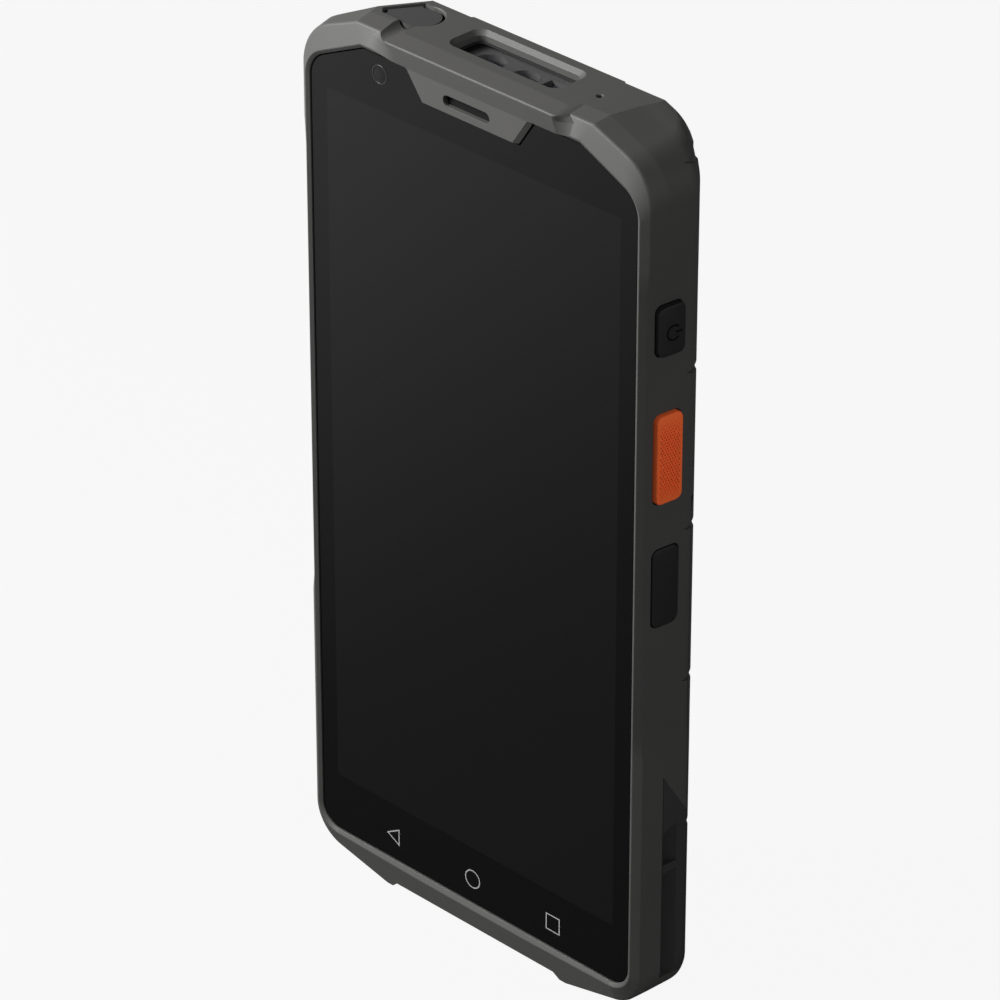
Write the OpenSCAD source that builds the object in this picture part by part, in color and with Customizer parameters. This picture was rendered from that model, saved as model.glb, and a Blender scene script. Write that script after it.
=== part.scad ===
// Portable barcode data terminal: a handheld with a tall display, a scan engine in its top edge,
// scan keys on both sides and a battery pack that tilts out of the back.
// X runs across the body, Y from the glass to the back, Z up along the body.
// Every module works from the middle of the lit area, with the glass front at Y = 0;
// stand() then sets the body on its feet, centred in depth.

/* [Display] */
// Width of the lit area
disp_w = 62.5; // [60:0.5:64]
// Height of the lit area
disp_h = 125; // [118:1:132]
// Thickness of the cover glass
glass_t = 1.1; // [0.9:0.1:1.3]
// Thickness of the display panel behind the glass
panel_t = 1.7; // [1.4:0.1:1.9]
// Border of the display panel round the lit area
panel_rim = 1.8; // [1.4:0.1:2]

/* [Body] */
// Border between the lit area and the widest part of the body
side_border = 6.75; // [6.6:0.05:8]
// Height of the body above the lit area
forehead = 13.5; // [13.2:0.1:16]
// Height of the body below the lit area, feet included
chin = 16.7; // [16.4:0.1:19]
// Thickness of the housing's side walls
wall = 1.8; // [1.6:0.1:2]
// Thickness of the housing's top wall
top_wall = 2.4; // [2.3:0.1:2.8]
// Thickness of the rear covers
cover_wall = 1.8; // [1.6:0.1:2]
// Width of the rim between the glass and the widest part of the body
rim_w = 3.15; // [3:0.05:3.4]
// How far the waist is set in from the bumpers
waist_in = 0.5; // [0.2:0.1:0.7]
// How far the earpiece bridge stands in front of the glass
bridge_out = 1.6; // [1.2:0.1:2]
// From the widest part of the body in to the end of the earpiece bridge
bridge_in = 19.6; // [18.6:0.1:20.6]
// Width of the thumb scoop in front of the jack cover
scoop_w = 3.6; // [3:0.2:4]
// Depth of the thumb scoop
scoop_deep = 0.9; // [0.6:0.1:1.1]
// Height of the seam between the two rear covers, above the middle of the lit area
cover_seam = 14; // [13:0.5:16]
// Height of the fixed tail below the battery cover
tail_h = 8.4; // [8:0.1:9]
// Height of the full-depth head above the rear cover
head_h = 3.4; // [3.2:0.1:4]
// Height of the corner guards' pointed top above the tail
guard_h = 36.8; // [30:0.5:40]
// Depth of the grip grooves on the back edges
groove_deep = 0.5; // [0.3:0.1:0.7]
// Distance from one grip groove to the next
groove_pitch = 27; // [24:0.5:30]
// Height of the feet below the middle of the bottom edge
foot_h = 1.2; // [0.8:0.1:1.4]

/* [Keys] */
// Height of the power key
power_h = 8.4; // [7:0.1:9]
// Height of each scan key
scan_h = 15.2; // [13:0.1:16]
// Height of the function key
function_h = 13.6; // [12:0.1:14.4]
// Height of the volume key
volume_h = 13; // [11:0.1:14]
// Width of every side key, across the side of the body
key_w = 4.9; // [4.4:0.1:5.2]
// How far the power and volume keys stand out of the side
key_out = 0.85; // [0.6:0.05:1]
// How far the scan keys' crown stands out of the side
scan_out = 1; // [0.8:0.05:1.2]
// Travel of the side keys
key_travel = 0.3; // [0.2:0.05:0.3]
// Gap round a key in its window
key_gap = 0.2; // [0.15:0.05:0.3]

/* [Scan engine] */
// Width of the scan window's opening
scan_open_w = 22; // [20.4:0.2:22.4]
// Depth of the scan window's opening
scan_open_d = 6.3; // [5.7:0.1:6.4]
// Width of the scan engine
engine_w = 20.8; // [19.6:0.2:21.6]
// Height of the scan engine
engine_h = 12; // [11:0.2:12.4]
// Sideways place of the scan engine
engine_x = 2.2; // [1.8:0.1:2.6]
// How far the head's back stands out behind the scan engine
hump_out = 0.7; // [0.4:0.1:0.9]
// Radius of the imager lens
imager_r = 2.4; // [2:0.1:2.6]

/* [Inside] */
// Thickness of the battery cell
cell_t = 6.7; // [5.8:0.1:7.6]
// Thickness of the metal midplate
plate_t = 0.8; // [0.6:0.1:0.9]
// Thickness of the circuit boards
board_t = 1; // [0.8:0.1:1.2]
// Distance from the midplate to the main board
standoff = 1.5; // [1.4:0.1:1.6]
// Thickness of the battery tray's floor
tray_floor = 1; // [0.8:0.1:1.1]
// Thickness of the battery tray's walls
tray_wall = 0.9; // [0.8:0.1:1]
// Gap round the battery pack in its tray
pack_gap = 0.5; // [0.5:0.1:0.8]
// Gap between fixed parts that slide together in assembly
fit = 0.2; // [0.1:0.05:0.25]
// Gap between the battery cover and what it closes on
cover_gap = 0.15; // [0.15:0.05:0.25]

/* [Jack and ports] */
// Radius of the jack cover's round end
plug_r = 3.2; // [3:0.1:3.3]
// From the widest part of the body in to the middle of the audio jack
jack_in = 19.4; // [19:0.1:19.8]
// Radius of the audio jack's bore
jack_bore_r = 1.8; // [1.75:0.05:1.85]
// Width of the USB connector's shell
usb_w = 8.94; // [8.9:0.01:9]
// Thickness of the USB connector's shell
usb_t = 3.16; // [3.1:0.01:3.2]

/* [Hidden] */
$fn = 48;
arc_n = 8;                 // steps in each corner arc of an outline
eps = 0.05;                // how far a cutter runs past the face that it opens

// Places across the body
hw = disp_w / 2 + side_border;
open_hw = hw - rim_w;                  // half width of the glass opening
side_in = 0.8;                         // from the widest part to the side face at the keys
side_x = hw - side_in;
cav_hw = side_x - wall;                // half width of the cavity
panel_hw = disp_w / 2 + panel_rim;
bridge_hw = hw - bridge_in;
// Depths, from the glass back
y_ledge = glass_t + 0.2;               // front of the ledge that carries the glass
y_plate = glass_t + panel_t + 0.1;
y_plate_back = y_plate + plate_t;
y_board = y_plate_back + standoff;
y_board_back = y_board + board_t;
pack_y = y_plate_back + tray_floor + pack_gap;
y_cover_in = pack_y + cell_t;          // inner face of the rear covers
body_d = y_cover_in + cover_wall;
y_seam = y_board_back + usb_t + 0.24;  // seam between the housing and the rear covers
y_key = 4.4;                           // middle of the side keys
y_top = (y_plate_back + y_cover_in) / 2 + 0.2;    // middle of what opens in the top face
mid_y = (body_d - bridge_out) / 2;
// Heights
z_top = disp_h / 2 + forehead;
z_foot = -disp_h / 2 - chin;
z_cav_top = z_top - top_wall;
z_cav_low = z_foot + 3.2;
head_low = z_top - head_h;             // under the full-depth head of the housing
glass_top = z_top - 4.05;              // top edge of the glass opening beside the bridge
glass_low = z_foot + 6;                // bottom edge of the glass opening
tab_low = glass_top - 4.65;            // bottom edge of the earpiece tab
tail_top = z_foot + tail_h;
panel_top = disp_h / 2 + panel_rim;
panel_low = -disp_h / 2 - panel_rim - 3.4;
// Battery pack, which tilts about the middle of its cover's rolled top edge
key_room = 3.5;            // room beside the battery tray for the side switches
switch_x = cav_hw - key_room;          // outer face of what carries the side switches
roll_r = (body_d - y_seam - cover_gap) / 2;
roll_y = body_d - roll_r;
roll_z = cover_seam - cover_gap - roll_r;
pack_hw = switch_x - tray_wall - pack_gap;
pack_top = roll_z - 0.1;
pack_low = tail_top + 4.8;
tray_low = pack_low - pack_gap - 0.1 - tray_wall;
tray_top = pack_top + 0.3 + tray_wall;
contact_z = cover_seam - 6;
// Main board and what stands on it
board_hw = switch_x - tray_wall - 0.3;
board_low = tray_top + 1.4;
board_top = z_cav_top - engine_h - 2.2;
board_posts = [[-board_hw + 3, board_low + 4], [board_hw - 3, board_low + 4],
    [-board_hw + 3, board_top - 4], [board_hw - 3, board_top - 4]];
cam_block = 8.8;           // width of the rear camera's block
rear_cam_x = hw - 18;
rear_cam_z = board_top - cam_block / 2;
flash_z = rear_cam_z - 11;

// ---- outlines and lofts ----

// Points of a corner arc, from one angle to another.
function arc(cx, cz, r, a0, a1) =
    [for (i = [0 : arc_n]) let (a = a0 + (a1 - a0) * i / arc_n) [cx + r * cos(a), cz + r * sin(a)]];

// Right half of a body outline: a sloping top corner with a vertex at vx, a straight side that
// steps in by w at the waist, a round lower corner and an edge that slopes down to the foot.
function half_outline(h, vx, zt, slope, rt, fx, zf, low, rb, w) =
    let (tx = h - rt + rt * sin(slope),
         tz = zt - tan(slope) * (tx - vx),
         cz = tz - rt * cos(slope),
         bx = h - rb + rb * sin(low),
         bz = zf + tan(low) * (bx - fx) + rb * cos(low))
    concat([[vx, zt]], arc(h - rt, cz, rt, 90 - slope, 0),
        [[h, waist_top + 2], [h - w, waist_top - 2], [h - w, waist_low + 2], [h, waist_low - 2]],
        arc(h - rb, bz, rb, 0, low - 90), [[fx, zf]]);
waist_top = disp_h / 2 - 9;
waist_low = -disp_h / 2 + 35;

function mirrored(p) = concat(p, [for (i = [len(p) - 1 : -1 : 0]) [-p[i][0], p[i][1]]]);

// Closed loft through outlines with equal counts of points, each at its own depth.
module loft(ys, rings) {
    n = len(rings[0]);
    k = len(ys);
    pts = [for (j = [0 : k - 1]) for (p = rings[j]) [p[0], ys[j], p[1]]];
    sides = [for (j = [0 : k - 2]) for (i = [0 : n - 1])
        let (a = j * n + i, b = j * n + (i + 1) % n)
        each [[a, a + n, b + n], [a, b + n, b]]];
    caps = [[for (i = [0 : n - 1]) i], [for (i = [n - 1 : -1 : 0]) (k - 1) * n + i]];
    polyhedron(pts, concat(sides, caps), convexity = 6);
}

// Extrude an outline drawn in X and Z from depth y0 to y1.
module slab(y0, y1) {
    translate([0, y1, 0]) rotate([90, 0, 0]) linear_extrude(y1 - y0) children();
}

// Extrude an outline drawn in Y and Z from x0 to x1.
module side_slab(x0, x1) {
    translate([x0, 0, 0]) rotate([90, 0, 90]) linear_extrude(x1 - x0) children();
}

// Rounded rectangle with true arcs, centred on c.
module pad(c, w, h, r) {
    translate(c) {
        square([w - 2 * r, h], center = true);
        square([w, h - 2 * r], center = true);
        for (i = [-1, 1], j = [-1, 1]) translate([i * (w / 2 - r), j * (h / 2 - r)]) circle(r);
    }
}

module box(x0, x1, y0, y1, z0, z1) {
    translate([x0, y0, z0]) cube([x1 - x0, y1 - y0, z1 - z0]);
}

// Round bar from depth y0 to y1 at x, z.
module rod(x, z, r, y0, y1) {
    translate([x, y1, z]) rotate([90, 0, 0]) cylinder(h = y1 - y0, r = r);
}

module both_sides() {
    children();
    mirror([1, 0, 0]) children();
}

// ---- the outer form, shared by the housing and the rear covers ----

corner_in = 13.05;         // from the widest part in to the vertex of the top corner
foot_in = 17.4;            // from the widest part in to the outer end of a foot
foot_w = 1.3;              // width of a foot's flat
foot_slant = 1.4;          // width of the slanted end of the recess between the feet
top_slope = 22;
low_slope = 12;

function body_outline(inset, vertex, drop, lift, rt, rb, w) =
    half_outline(hw - inset, hw - corner_in + vertex, z_top - drop, top_slope, rt,
        hw - foot_in, z_foot + lift, low_slope, rb, w);

opening_vertex = hw - 15;  // where the glass opening's corner starts to slope
opening_slope = 24.5;
crest = half_outline(open_hw + 0.65, opening_vertex + 0.2, glass_top + 0.6, opening_slope, 5.6,
    12, glass_low - 0.9, 1, 4.6, 0);

module outer_form() {
    difference() {
        loft([-0.57, 0.55, 3.8, y_seam - 0.4, y_seam + 1.4, body_d - 1.3, body_d - 0.3, body_d],
            [mirrored(crest),
             mirrored(body_outline(1, 0, 0.55, 0, 8.55, 7, waist_in - 0.05)),
             mirrored(body_outline(0.5, 0.3, 0.05, 0, 8.6, 7.3, waist_in)),
             mirrored(body_outline(0, 1.5, 0, 0, 8.8, 7.6, waist_in - 0.2)),
             mirrored(body_outline(1.2, 2.2, 0, 0, 8.2, 7.2, 0)),
             mirrored(body_outline(3, 2.6, 0, 0.3, 7.4, 6.6, 0)),
             mirrored(body_outline(4.9, 2.7, 0, 1.6, 6.6, 6, 0)),
             mirrored(body_outline(5.9, 2.7, 0.35, 2.4, 6.2, 5.6, 0))]);
        corner_slope(0);
    }
}

// Audio jack's place, and the line in the top face where its back left corner slopes away.
plug_x = jack_in - hw;
plug_y = y_top;
cut_x = plug_x - 6.3;
cut_y = plug_y - 1;
cut_turn = 58;             // turn of that line from the X axis
cut_slope = 33;            // slope of the corner below that line
corner_wall = 1.4;         // wall under the sloped corner

// What the corner slope takes away, reaching in further by g.
module corner_slope(g) {
    translate([cut_x, cut_y, z_top]) rotate([-cut_slope, 0, cut_turn]) translate([-40, -20, -g])
        cube([80, 80, 40]);
}

groove_z = 9;              // height of the middle groove
head_groove_z = z_top - 5.5;   // height of the groove at the head

// Grooves across the back's two edges.
module grip_grooves() {
    for (z = [for (i = [-2 : 1]) groove_z + i * groove_pitch, head_groove_z]) {
        both_sides() side_slab(hw - 5.3, hw + 1)
            polygon([[y_seam - 1.6, z], [body_d + 1, z - 1.9], [body_d + 1, z + 1.9]]);
    }
}

module grooved_form() {
    difference() {
        outer_form();
        intersection() {
            grip_grooves();
            difference() {
                box(-hw - 1, hw + 1, 0, body_d + 1, z_foot - 1, z_top + 1);
                scale([1 - groove_deep / hw, 1, 1]) outer_form();
            }
        }
    }
}

// Space inside the side walls, less a further inset.
module cavity_outline(inset) {
    polygon(mirrored(half_outline(cav_hw - inset, hw - corner_in - 1.2, z_cav_top - inset, top_slope,
        7 - inset, hw - 18, z_cav_low + inset, 3, 5 - inset, 0)));
}

// Glass opening with the notch for the earpiece tab, drawn smaller by an inset.
module opening_outline(inset) {
    half = concat([[tab_hw + inset, tab_low - inset], [tab_hw + tab_flare + inset, glass_top - inset],
        [opening_vertex - inset / 4, glass_top - inset]],
        let (s = opening_slope, r = 5 - inset, h = open_hw - inset, tx = h - r + r * sin(s))
        arc(h - r, glass_top - inset - tan(s) * (tx - opening_vertex) - r * cos(s), r, 90 - s, 0),
        arc(open_hw - 4, glass_low + 4, 4 - inset, 0, -90));
    polygon(mirrored(half));
}

// ---- front housing ----

bridge_low = glass_top - 0.05;
tab_hw = hw - 27.8;        // half width of the earpiece tab's lower edge
tab_flare = 3.15;          // how much wider the tab is at its top, each side
blend_w = 1.7;             // width of the blend at the bridge's right end, along its front edge
blend_fan = 2.2;           // how much further that blend reaches at its lower edge, each way
blend_n = 4;               // steps in each of the bridge's blends

function eased(t) = t * t * (3 - 2 * t);

// Bridge over the earpiece: a bar that stands forward of the corners and blends into them,
// at its left end over the width of the thumb scoop.
module bridge() {
    full = [[-bridge_out, z_top - 0.55], [-bridge_out + 3.5, z_top], [y_key + 0.6, z_top],
        [y_key + 0.6, bridge_low], [-0.63, bridge_low]];
    flush = [[0.5, z_top - 0.56], [3.8, z_top - 0.06], [y_key + 0.6, z_top - 0.05],
        [y_key + 0.6, bridge_low], [-0.3, bridge_low + 0.4]];
    left = -bridge_hw - blend_w;
    // each station: place along the front edge, place along the lower edge, share of the bridge
    stations = concat(
        [for (k = [0 : blend_n]) let (t = k / blend_n) [left + scoop_w * t, left + scoop_w * t, eased(t)]],
        [for (k = [0 : blend_n]) let (t = k / blend_n) [bridge_hw + blend_w * t,
            bridge_hw - blend_fan + (blend_w + 2 * blend_fan) * t, eased(1 - t)]]);
    n = len(stations);
    pts = [for (s = stations) for (i = [0 : 4]) let (p = flush[i] + (full[i] - flush[i]) * s[2])
        [i == 4 ? s[1] : s[0], p[0], p[1]]];
    sides = [for (k = [0 : n - 2]) for (i = [0 : 4]) let (a = k * 5 + i, b = k * 5 + (i + 1) % 5)
        each [[a, b + 5, a + 5], [a, b, b + 5]]];
    caps = [[4, 3, 2, 1, 0], [for (i = [0 : 4]) 5 * n - 5 + i]];
    polyhedron(pts, concat(sides, caps), convexity = 4);
}

// Tab that carries the earpiece, hanging into the glass opening.
module tab() {
    w = tab_hw + tab_flare;
    polyhedron([[-tab_hw, -0.44, tab_low], [tab_hw, -0.44, tab_low], [tab_hw, 2, tab_low],
        [-tab_hw, 2, tab_low], [-w, -0.63, glass_top + 0.2], [w, -0.63, glass_top + 0.2],
        [w, 2, glass_top + 0.2], [-w, 2, glass_top + 0.2]],
        [[0, 1, 2, 3], [7, 6, 5, 4], [0, 4, 5, 1], [1, 5, 6, 2], [2, 6, 7, 3], [3, 7, 4, 0]]);
}

// Bevel from the crest of the rim down to the glass.
module rim_bevel() {
    inner = half_outline(open_hw, opening_vertex, glass_top, opening_slope, 5, 12, glass_low, 0.1, 4, 0);
    over = half_outline(open_hw + 0.95, opening_vertex + 0.3, glass_top + 0.87, opening_slope, 5.9,
        12, glass_low - 1.2, 1, 4.9, 0);
    loft([-0.78, -0.15, 0.4], [mirrored(over), mirrored(inner), mirrored(inner)]);
}

scan_z = disp_h / 2 - 39.6;            // middle heights of the side keys
power_z = scan_z + 21.9;
function_z = scan_z - 22.5;
volume_z = power_z - 0.8;
pocket_x = side_x - wall + 0.4;        // floor of a key's pocket

// Pocket and window of one side key, on the right.
module key_window(z, h) {
    side_slab(pocket_x, hw + 1) pad([y_key, z], key_w + 2 * key_gap, h + 2 * key_gap, 1.3);
    side_slab(cav_hw - 1, pocket_x + eps) pad([y_key + 0.4, z], key_w - 1.8, h - 2.4, 1);
}

lug_z = [cover_seam + 21.5, z_cav_top - 6.7];   // heights of the rear cover's screw lugs
lug_x = [cav_hw - 1.9, cav_hw - 5.2];
lug_y = y_seam - 2.2;
screw_r = 0.8;             // shank radius of every cover screw

module screw_lugs() {
    both_sides() for (i = [0, 1])
        box(lug_x[i] - 1.9, cav_hw + 0.4, lug_y, y_seam, lug_z[i] - 2.2, lug_z[i] + 2.2);
}

module cover_screw_holes(r, y0, y1) {
    both_sides() for (i = [0, 1]) rod(lug_x[i], lug_z[i], r, y0, y1);
}

plate_screw_x = hw - 8.4;
plate_screw_low = z_cav_low + 4.1;
plate_screw_top = z_cav_top - 5.4;

module plate_screw_places() {
    both_sides() {
        translate([plate_screw_x, 0, plate_screw_low]) children();
        translate([plate_screw_x - 2.4, 0, plate_screw_top]) children();
    }
}

// Audio jack and the cover over it, which turns about a pin along the sloped corner's line.
jack_w = 6.6;
jack_d = y_cover_in - y_plate_back - 2;
plug_top = z_top - 0.35;
plug_t = 1.3;
plug_gap = 0.45;           // gap round the cover's round end
pin_r = 0.45;
pin_in = 1.2;              // from the corner's line in to the cover's pin
pin_z = plug_top - pin_r;
pin_room = 0.65;           // from the pin's axis to the wall of the seat behind it

// Point at a distance t along the pin's axis and u in from it.
function by_pin(t, u) = [cut_x + t * cos(cut_turn) + (pin_in + u) * sin(cut_turn),
    cut_y + t * sin(cut_turn) - (pin_in + u) * cos(cut_turn)];

module plug_seat() {
    translate([0, 0, plug_top - plug_t - 0.05]) linear_extrude(5) {
        translate([plug_x + 0.15, plug_y]) circle(plug_r + plug_gap);
        polygon([[plug_x, plug_y - plug_r - 0.1], [plug_x - 5.15, plug_y - plug_r],
            [plug_x - 5.95, plug_y - plug_r + 0.7], by_pin(-0.4, -pin_room), by_pin(5.8, -pin_room),
            [plug_x - 0.6, plug_y + plug_r + 0.35]]);
    }
    translate([plug_x, plug_y, z_cav_top - 1]) cylinder(h = top_wall, r = 2.6);
}

// Thumb scoop in front of the jack cover: a shallow round groove that runs to the front edge.
module plug_scoop() {
    r = (scoop_w * scoop_w / 4 + scoop_deep * scoop_deep) / (2 * scoop_deep);
    x = -bridge_hw - blend_w + scoop_w / 2;
    translate([x, plug_y - plug_r + 1, z_top + r - scoop_deep]) rotate([91, 0, 0])
        cylinder(h = plug_y + 4, r = r);
}

scan_y = y_top - 0.25;
scan_c = [engine_x, scan_y];

module scan_recess() {
    translate([0, 0, z_cav_top - eps]) linear_extrude(top_wall + 1)
        pad(scan_c, scan_open_w, scan_open_d, 1.6);
    translate([0, 0, z_cav_top - 1]) linear_extrude(1 + window_t)
        pad(scan_c, scan_open_w + 2 * window_seat, scan_open_d + 2 * window_seat, window_r);
    chamfer = 0.7;
    for (k = [1 : 3]) translate([0, 0, z_top - chamfer + (k - 1) * chamfer / 3])
        linear_extrude(top_wall)
        pad(scan_c, scan_open_w + 2 * chamfer * k / 3, scan_open_d + 2 * chamfer * k / 3, 1.9);
}

window_t = 0.6;            // thickness of the scan window
window_seat = 0.8;         // overlap of the scan window under its opening's edge
window_r = 0.8;            // corner radius of the scan window and of its seat

// Lower ends of the head's back, either side of the hump behind the scan engine.
module hump_ends() {
    y = body_d - hump_out;
    translate([0, 0, head_low - eps]) linear_extrude(head_h + 1) {
        x0 = engine_x + 16.6;
        polygon([[x0, body_d + 1], [x0, body_d], [x0 + 0.7, y], [hw + 1, y], [hw + 1, body_d + 1]]);
        x1 = engine_x - 14.4;
        polygon([[x1, body_d + 1], [x1, body_d], [x1 - 0.7, y], [-hw - 1, y], [-hw - 1, body_d + 1]]);
    }
}

mic_x = hw - 18.2;
mic_y = y_top - 0.8;
usb_y = y_board_back + usb_t / 2 + 0.02;
speaker_x = hw - 24;
speaker_w = 15;
grille_pitch = 2.2;

module bottom_openings() {
    translate([0, usb_y, z_foot - 1]) linear_extrude(6)
        pad([0, 0], usb_w + 2 * fit, usb_t + 2 * fit, 1.6);
    for (i = [-2 : 1]) translate([speaker_x + i * grille_pitch, usb_y, z_foot - 1])
        cylinder(h = 6, r = 0.6);
}

// Recess in the middle of the bottom edge, between the feet.
module foot_recess() {
    a = hw - foot_in - foot_w;
    b = a - foot_slant;
    slab(-2, body_d + 1) polygon([[-a, z_foot - 1], [-a, z_foot], [-b, z_foot + foot_h],
        [b, z_foot + foot_h], [a, z_foot], [a, z_foot - 1]]);
}

// Space behind the side crease where the corner guards sit.
guard_y = y_key;
guard_top = tail_top + guard_h;
guard_low = tail_top - 1;
guard_x = side_x - 1.2;                // floor of the guards' pockets
module guard_outline(g) {
    polygon([[guard_y - g, guard_top + g], [y_seam + 0.1, guard_top - 8.4 + g],
        [y_seam + 0.1, guard_low - g], [guard_y - g, guard_low - g]]);
}

module housing_cavity() {
    slab(y_ledge - 1.4, y_ledge) opening_outline(0);
    slab(y_ledge - eps, y_plate + eps)
        pad([0, (panel_top + panel_low) / 2], 2 * panel_hw + 2 * fit, panel_top - panel_low + 2 * fit, 1.2);
    difference() {
        slab(y_plate, y_seam + 8) cavity_outline(0);
        screw_lugs();
        corner_slope(corner_wall);
        box(-hw, hw, y_cover_in, body_d + 8, z_foot, tail_top);
        box(-hw, hw, y_seam, body_d + 8, tail_top - cover_wall, tail_top);
        box(-hw, hw, y_cover_in, body_d + 8, head_low, z_top);
    }
}

ear_x = -0.4;
ear_z = tab_low + 2.1;
ear_w = 12;                // width of the earpiece receiver
ear_h = 2.8;
cam_x = 18.5 - hw;
cam_z = glass_top - 3.45;
cam_w = 5.6;               // width of the front camera

module front_housing() {
    color([0.25, 0.25, 0.24]) difference() {
        union() {
            difference() {
                grooved_form();
                box(-hw - 1, hw + 1, y_seam, body_d + 1, tail_top, head_low);
                rim_bevel();
                housing_cavity();
            }
            bridge();
            tab();
        }
        slab(y_plate, 6) cavity_outline(0);
        foot_recess();
        // earpiece slot and receiver pocket
        slab(-2, 1) pad([ear_x, ear_z], ear_w - 2.3, 1.8, 0.85);
        slab(0.4, y_plate + eps) pad([ear_x, ear_z], ear_w + 0.4, ear_h + 0.3, 0.8);
        // front camera
        slab(y_ledge - 1, y_plate + eps) pad([cam_x, cam_z], cam_w + 0.4, cam_w + 0.4, 0.6);
        hump_ends();
        for (s = [[power_z, power_h], [scan_z, scan_h], [function_z, function_h]])
            key_window(s[0], s[1]);
        for (s = [[volume_z, volume_h], [scan_z, scan_h]])
            mirror([1, 0, 0]) key_window(s[0], s[1]);
        cover_screw_holes(screw_r + 0.02, lug_y - 1, y_seam + 1);
        slab(y_seam - 0.6, y_seam + eps) seal_outline();
        plate_screw_places() rod(0, 0, 0.62, y_plate - 1.3, y_plate + eps);
        scan_recess();
        plug_seat();
        plug_scoop();
        translate([mic_x, mic_y, z_cav_top - 1]) cylinder(h = top_wall + 2, r = 0.55);
        bottom_openings();
        both_sides() side_slab(guard_x, hw + 1) guard_outline(0);
    }
}

// ---- rear covers ----

module rear_cover() {
    color([0.22, 0.22, 0.21]) difference() {
        intersection() {
            grooved_form();
            box(-hw - 1, hw + 1, y_seam, body_d + 1, cover_seam + cover_gap, head_low);
        }
        difference() {
            intersection() {
                slab(y_seam - 1, y_cover_in) cavity_outline(0.6);
                box(-hw, hw, 0, body_d, cover_seam + cover_gap + cover_wall, z_top);
            }
            corner_slope(corner_wall);
            both_sides() for (i = [0, 1]) rod(lug_x[i], lug_z[i], 2.3, y_seam - 1, body_d);
        }
        cover_screw_holes(screw_r + 0.1, y_seam - 1, body_d + 1);
        cover_screw_holes(1.55, y_seam + 1.2, body_d + 1);
        rod(rear_cam_x, rear_cam_z, 3.4, y_seam, body_d + 1);
        rod(rear_cam_x, rear_cam_z, 5.1, body_d - 0.9, body_d + 1);
        rod(rear_cam_x, flash_z, 2.1, y_seam, body_d + 1);
    }
}

// Its top edge is rolled about the line that the pack tilts on.
module battery_cover() {
    color([0.22, 0.22, 0.21]) difference() {
        intersection() {
            grooved_form();
            union() {
                box(-hw - 1, hw + 1, y_seam + cover_gap, body_d + 1, tail_top + 2 * cover_gap, roll_z);
                intersection() {
                    translate([-hw - 1, roll_y, roll_z]) rotate([0, 90, 0])
                        cylinder(h = 2 * hw + 2, r = roll_r);
                    box(-hw - 1, hw + 1, y_seam + cover_gap, body_d + 1, roll_z - 1, roll_z + roll_r + 1);
                }
            }
        }
        intersection() {
            slab(y_seam - 1, y_cover_in) cavity_outline(0.6);
            box(-hw, hw, 0, body_d, tail_top + 2 * cover_gap + cover_wall, roll_z - 0.05);
        }
    }
}

rib_top = guard_top - 16.5;            // top of the rib across the grip channel
rib_h = 1.6;

module corner_guards() {
    color([0.16, 0.16, 0.16]) both_sides() difference() {
        intersection() {
            outer_form();
            side_slab(guard_x, hw + 1) guard_outline(-0.1);
            box(-hw - 1, hw + 1, 0, y_seam, z_foot, z_top);
        }
        // grip channel with a slanted back wall, and the rib across it left standing
        intersection() {
            translate([0, 0, guard_low - 1]) linear_extrude(guard_h) polygon([[guard_x + 0.2, guard_y + 0.2],
                [guard_x + 0.2, guard_y + 1.5], [hw + 0.3, guard_y + 3.4], [hw + 2, guard_y + 0.1]]);
            side_slab(guard_x - 1, hw + 2) difference() {
                polygon([[guard_y, guard_low - 2], [guard_y, guard_top - 11], [guard_y + 0.8, guard_top - 10.1],
                    [guard_y + 3, guard_top - 9.4], [guard_y + 4, guard_top - 9.4],
                    [guard_y + 4, guard_low - 2]]);
                polygon([[guard_y - 1, rib_top], [guard_y + 5, rib_top + 0.2],
                    [guard_y + 5, rib_top - rib_h + 0.6], [guard_y - 1, rib_top - rib_h]]);
            }
        }
    }
}

// ---- glass and display ----

module cover_glass() {
    color([0.02, 0.02, 0.02, 0.9]) slab(0, glass_t) opening_outline(fit);
}

module glass_seal() {
    color([0.05, 0.05, 0.05]) slab(glass_t, y_ledge) difference() {
        opening_outline(fit + 0.1);
        pad([0, (panel_top + panel_low) / 2], 2 * panel_hw + 2 * fit,
            panel_top - panel_low + 2 * fit, 1.2);
        translate([cam_x, cam_z]) square(cam_w + 0.4, center = true);
    }
}

module display_panel() {
    color([0.08, 0.08, 0.09]) slab(glass_t, glass_t + panel_t)
        pad([0, (panel_top + panel_low) / 2], 2 * panel_hw, panel_top - panel_low, 1);
}

// ---- inner frame ----

bracket_low = cover_seam + 0.8;
bracket_top = power_z + power_h / 2 + 1.8;

module midplate() {
    color([0.62, 0.63, 0.64]) difference() {
        union() {
            slab(y_plate, y_plate_back) cavity_outline(fit);
            both_sides() box(switch_x - tray_wall, switch_x, y_plate_back - eps, lug_y - 0.3,
                bracket_low, bracket_top);
            for (p = board_posts) rod(p[0], p[1], 1.6, y_plate_back - eps, y_board);
        }
        both_sides() box(switch_x, hw, y_plate - 1, y_plate_back + 1, function_z - function_h / 2 - 1,
            bracket_top + 1);
        for (p = board_posts) rod(p[0], p[1], 0.62, y_plate_back, y_board + 1);
        slab(y_plate - 1, y_plate_back + 1) pad([cam_x, cam_z], cam_w + 0.4, cam_w + 0.4, 0.6);
        plate_screw_places() rod(0, 0, 0.9, y_plate - 1, y_plate_back + 1);
    }
}

module midplate_screws() {
    color([0.75, 0.75, 0.77]) plate_screw_places() {
        rod(0, 0, 0.6, y_plate - 1.2, y_plate_back + eps);
        difference() {
            rod(0, 0, 1.4, y_plate_back, y_plate_back + 0.8);
            rod(0, 0, 0.5, y_plate_back + 0.4, y_plate_back + 1);
        }
    }
}

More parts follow.
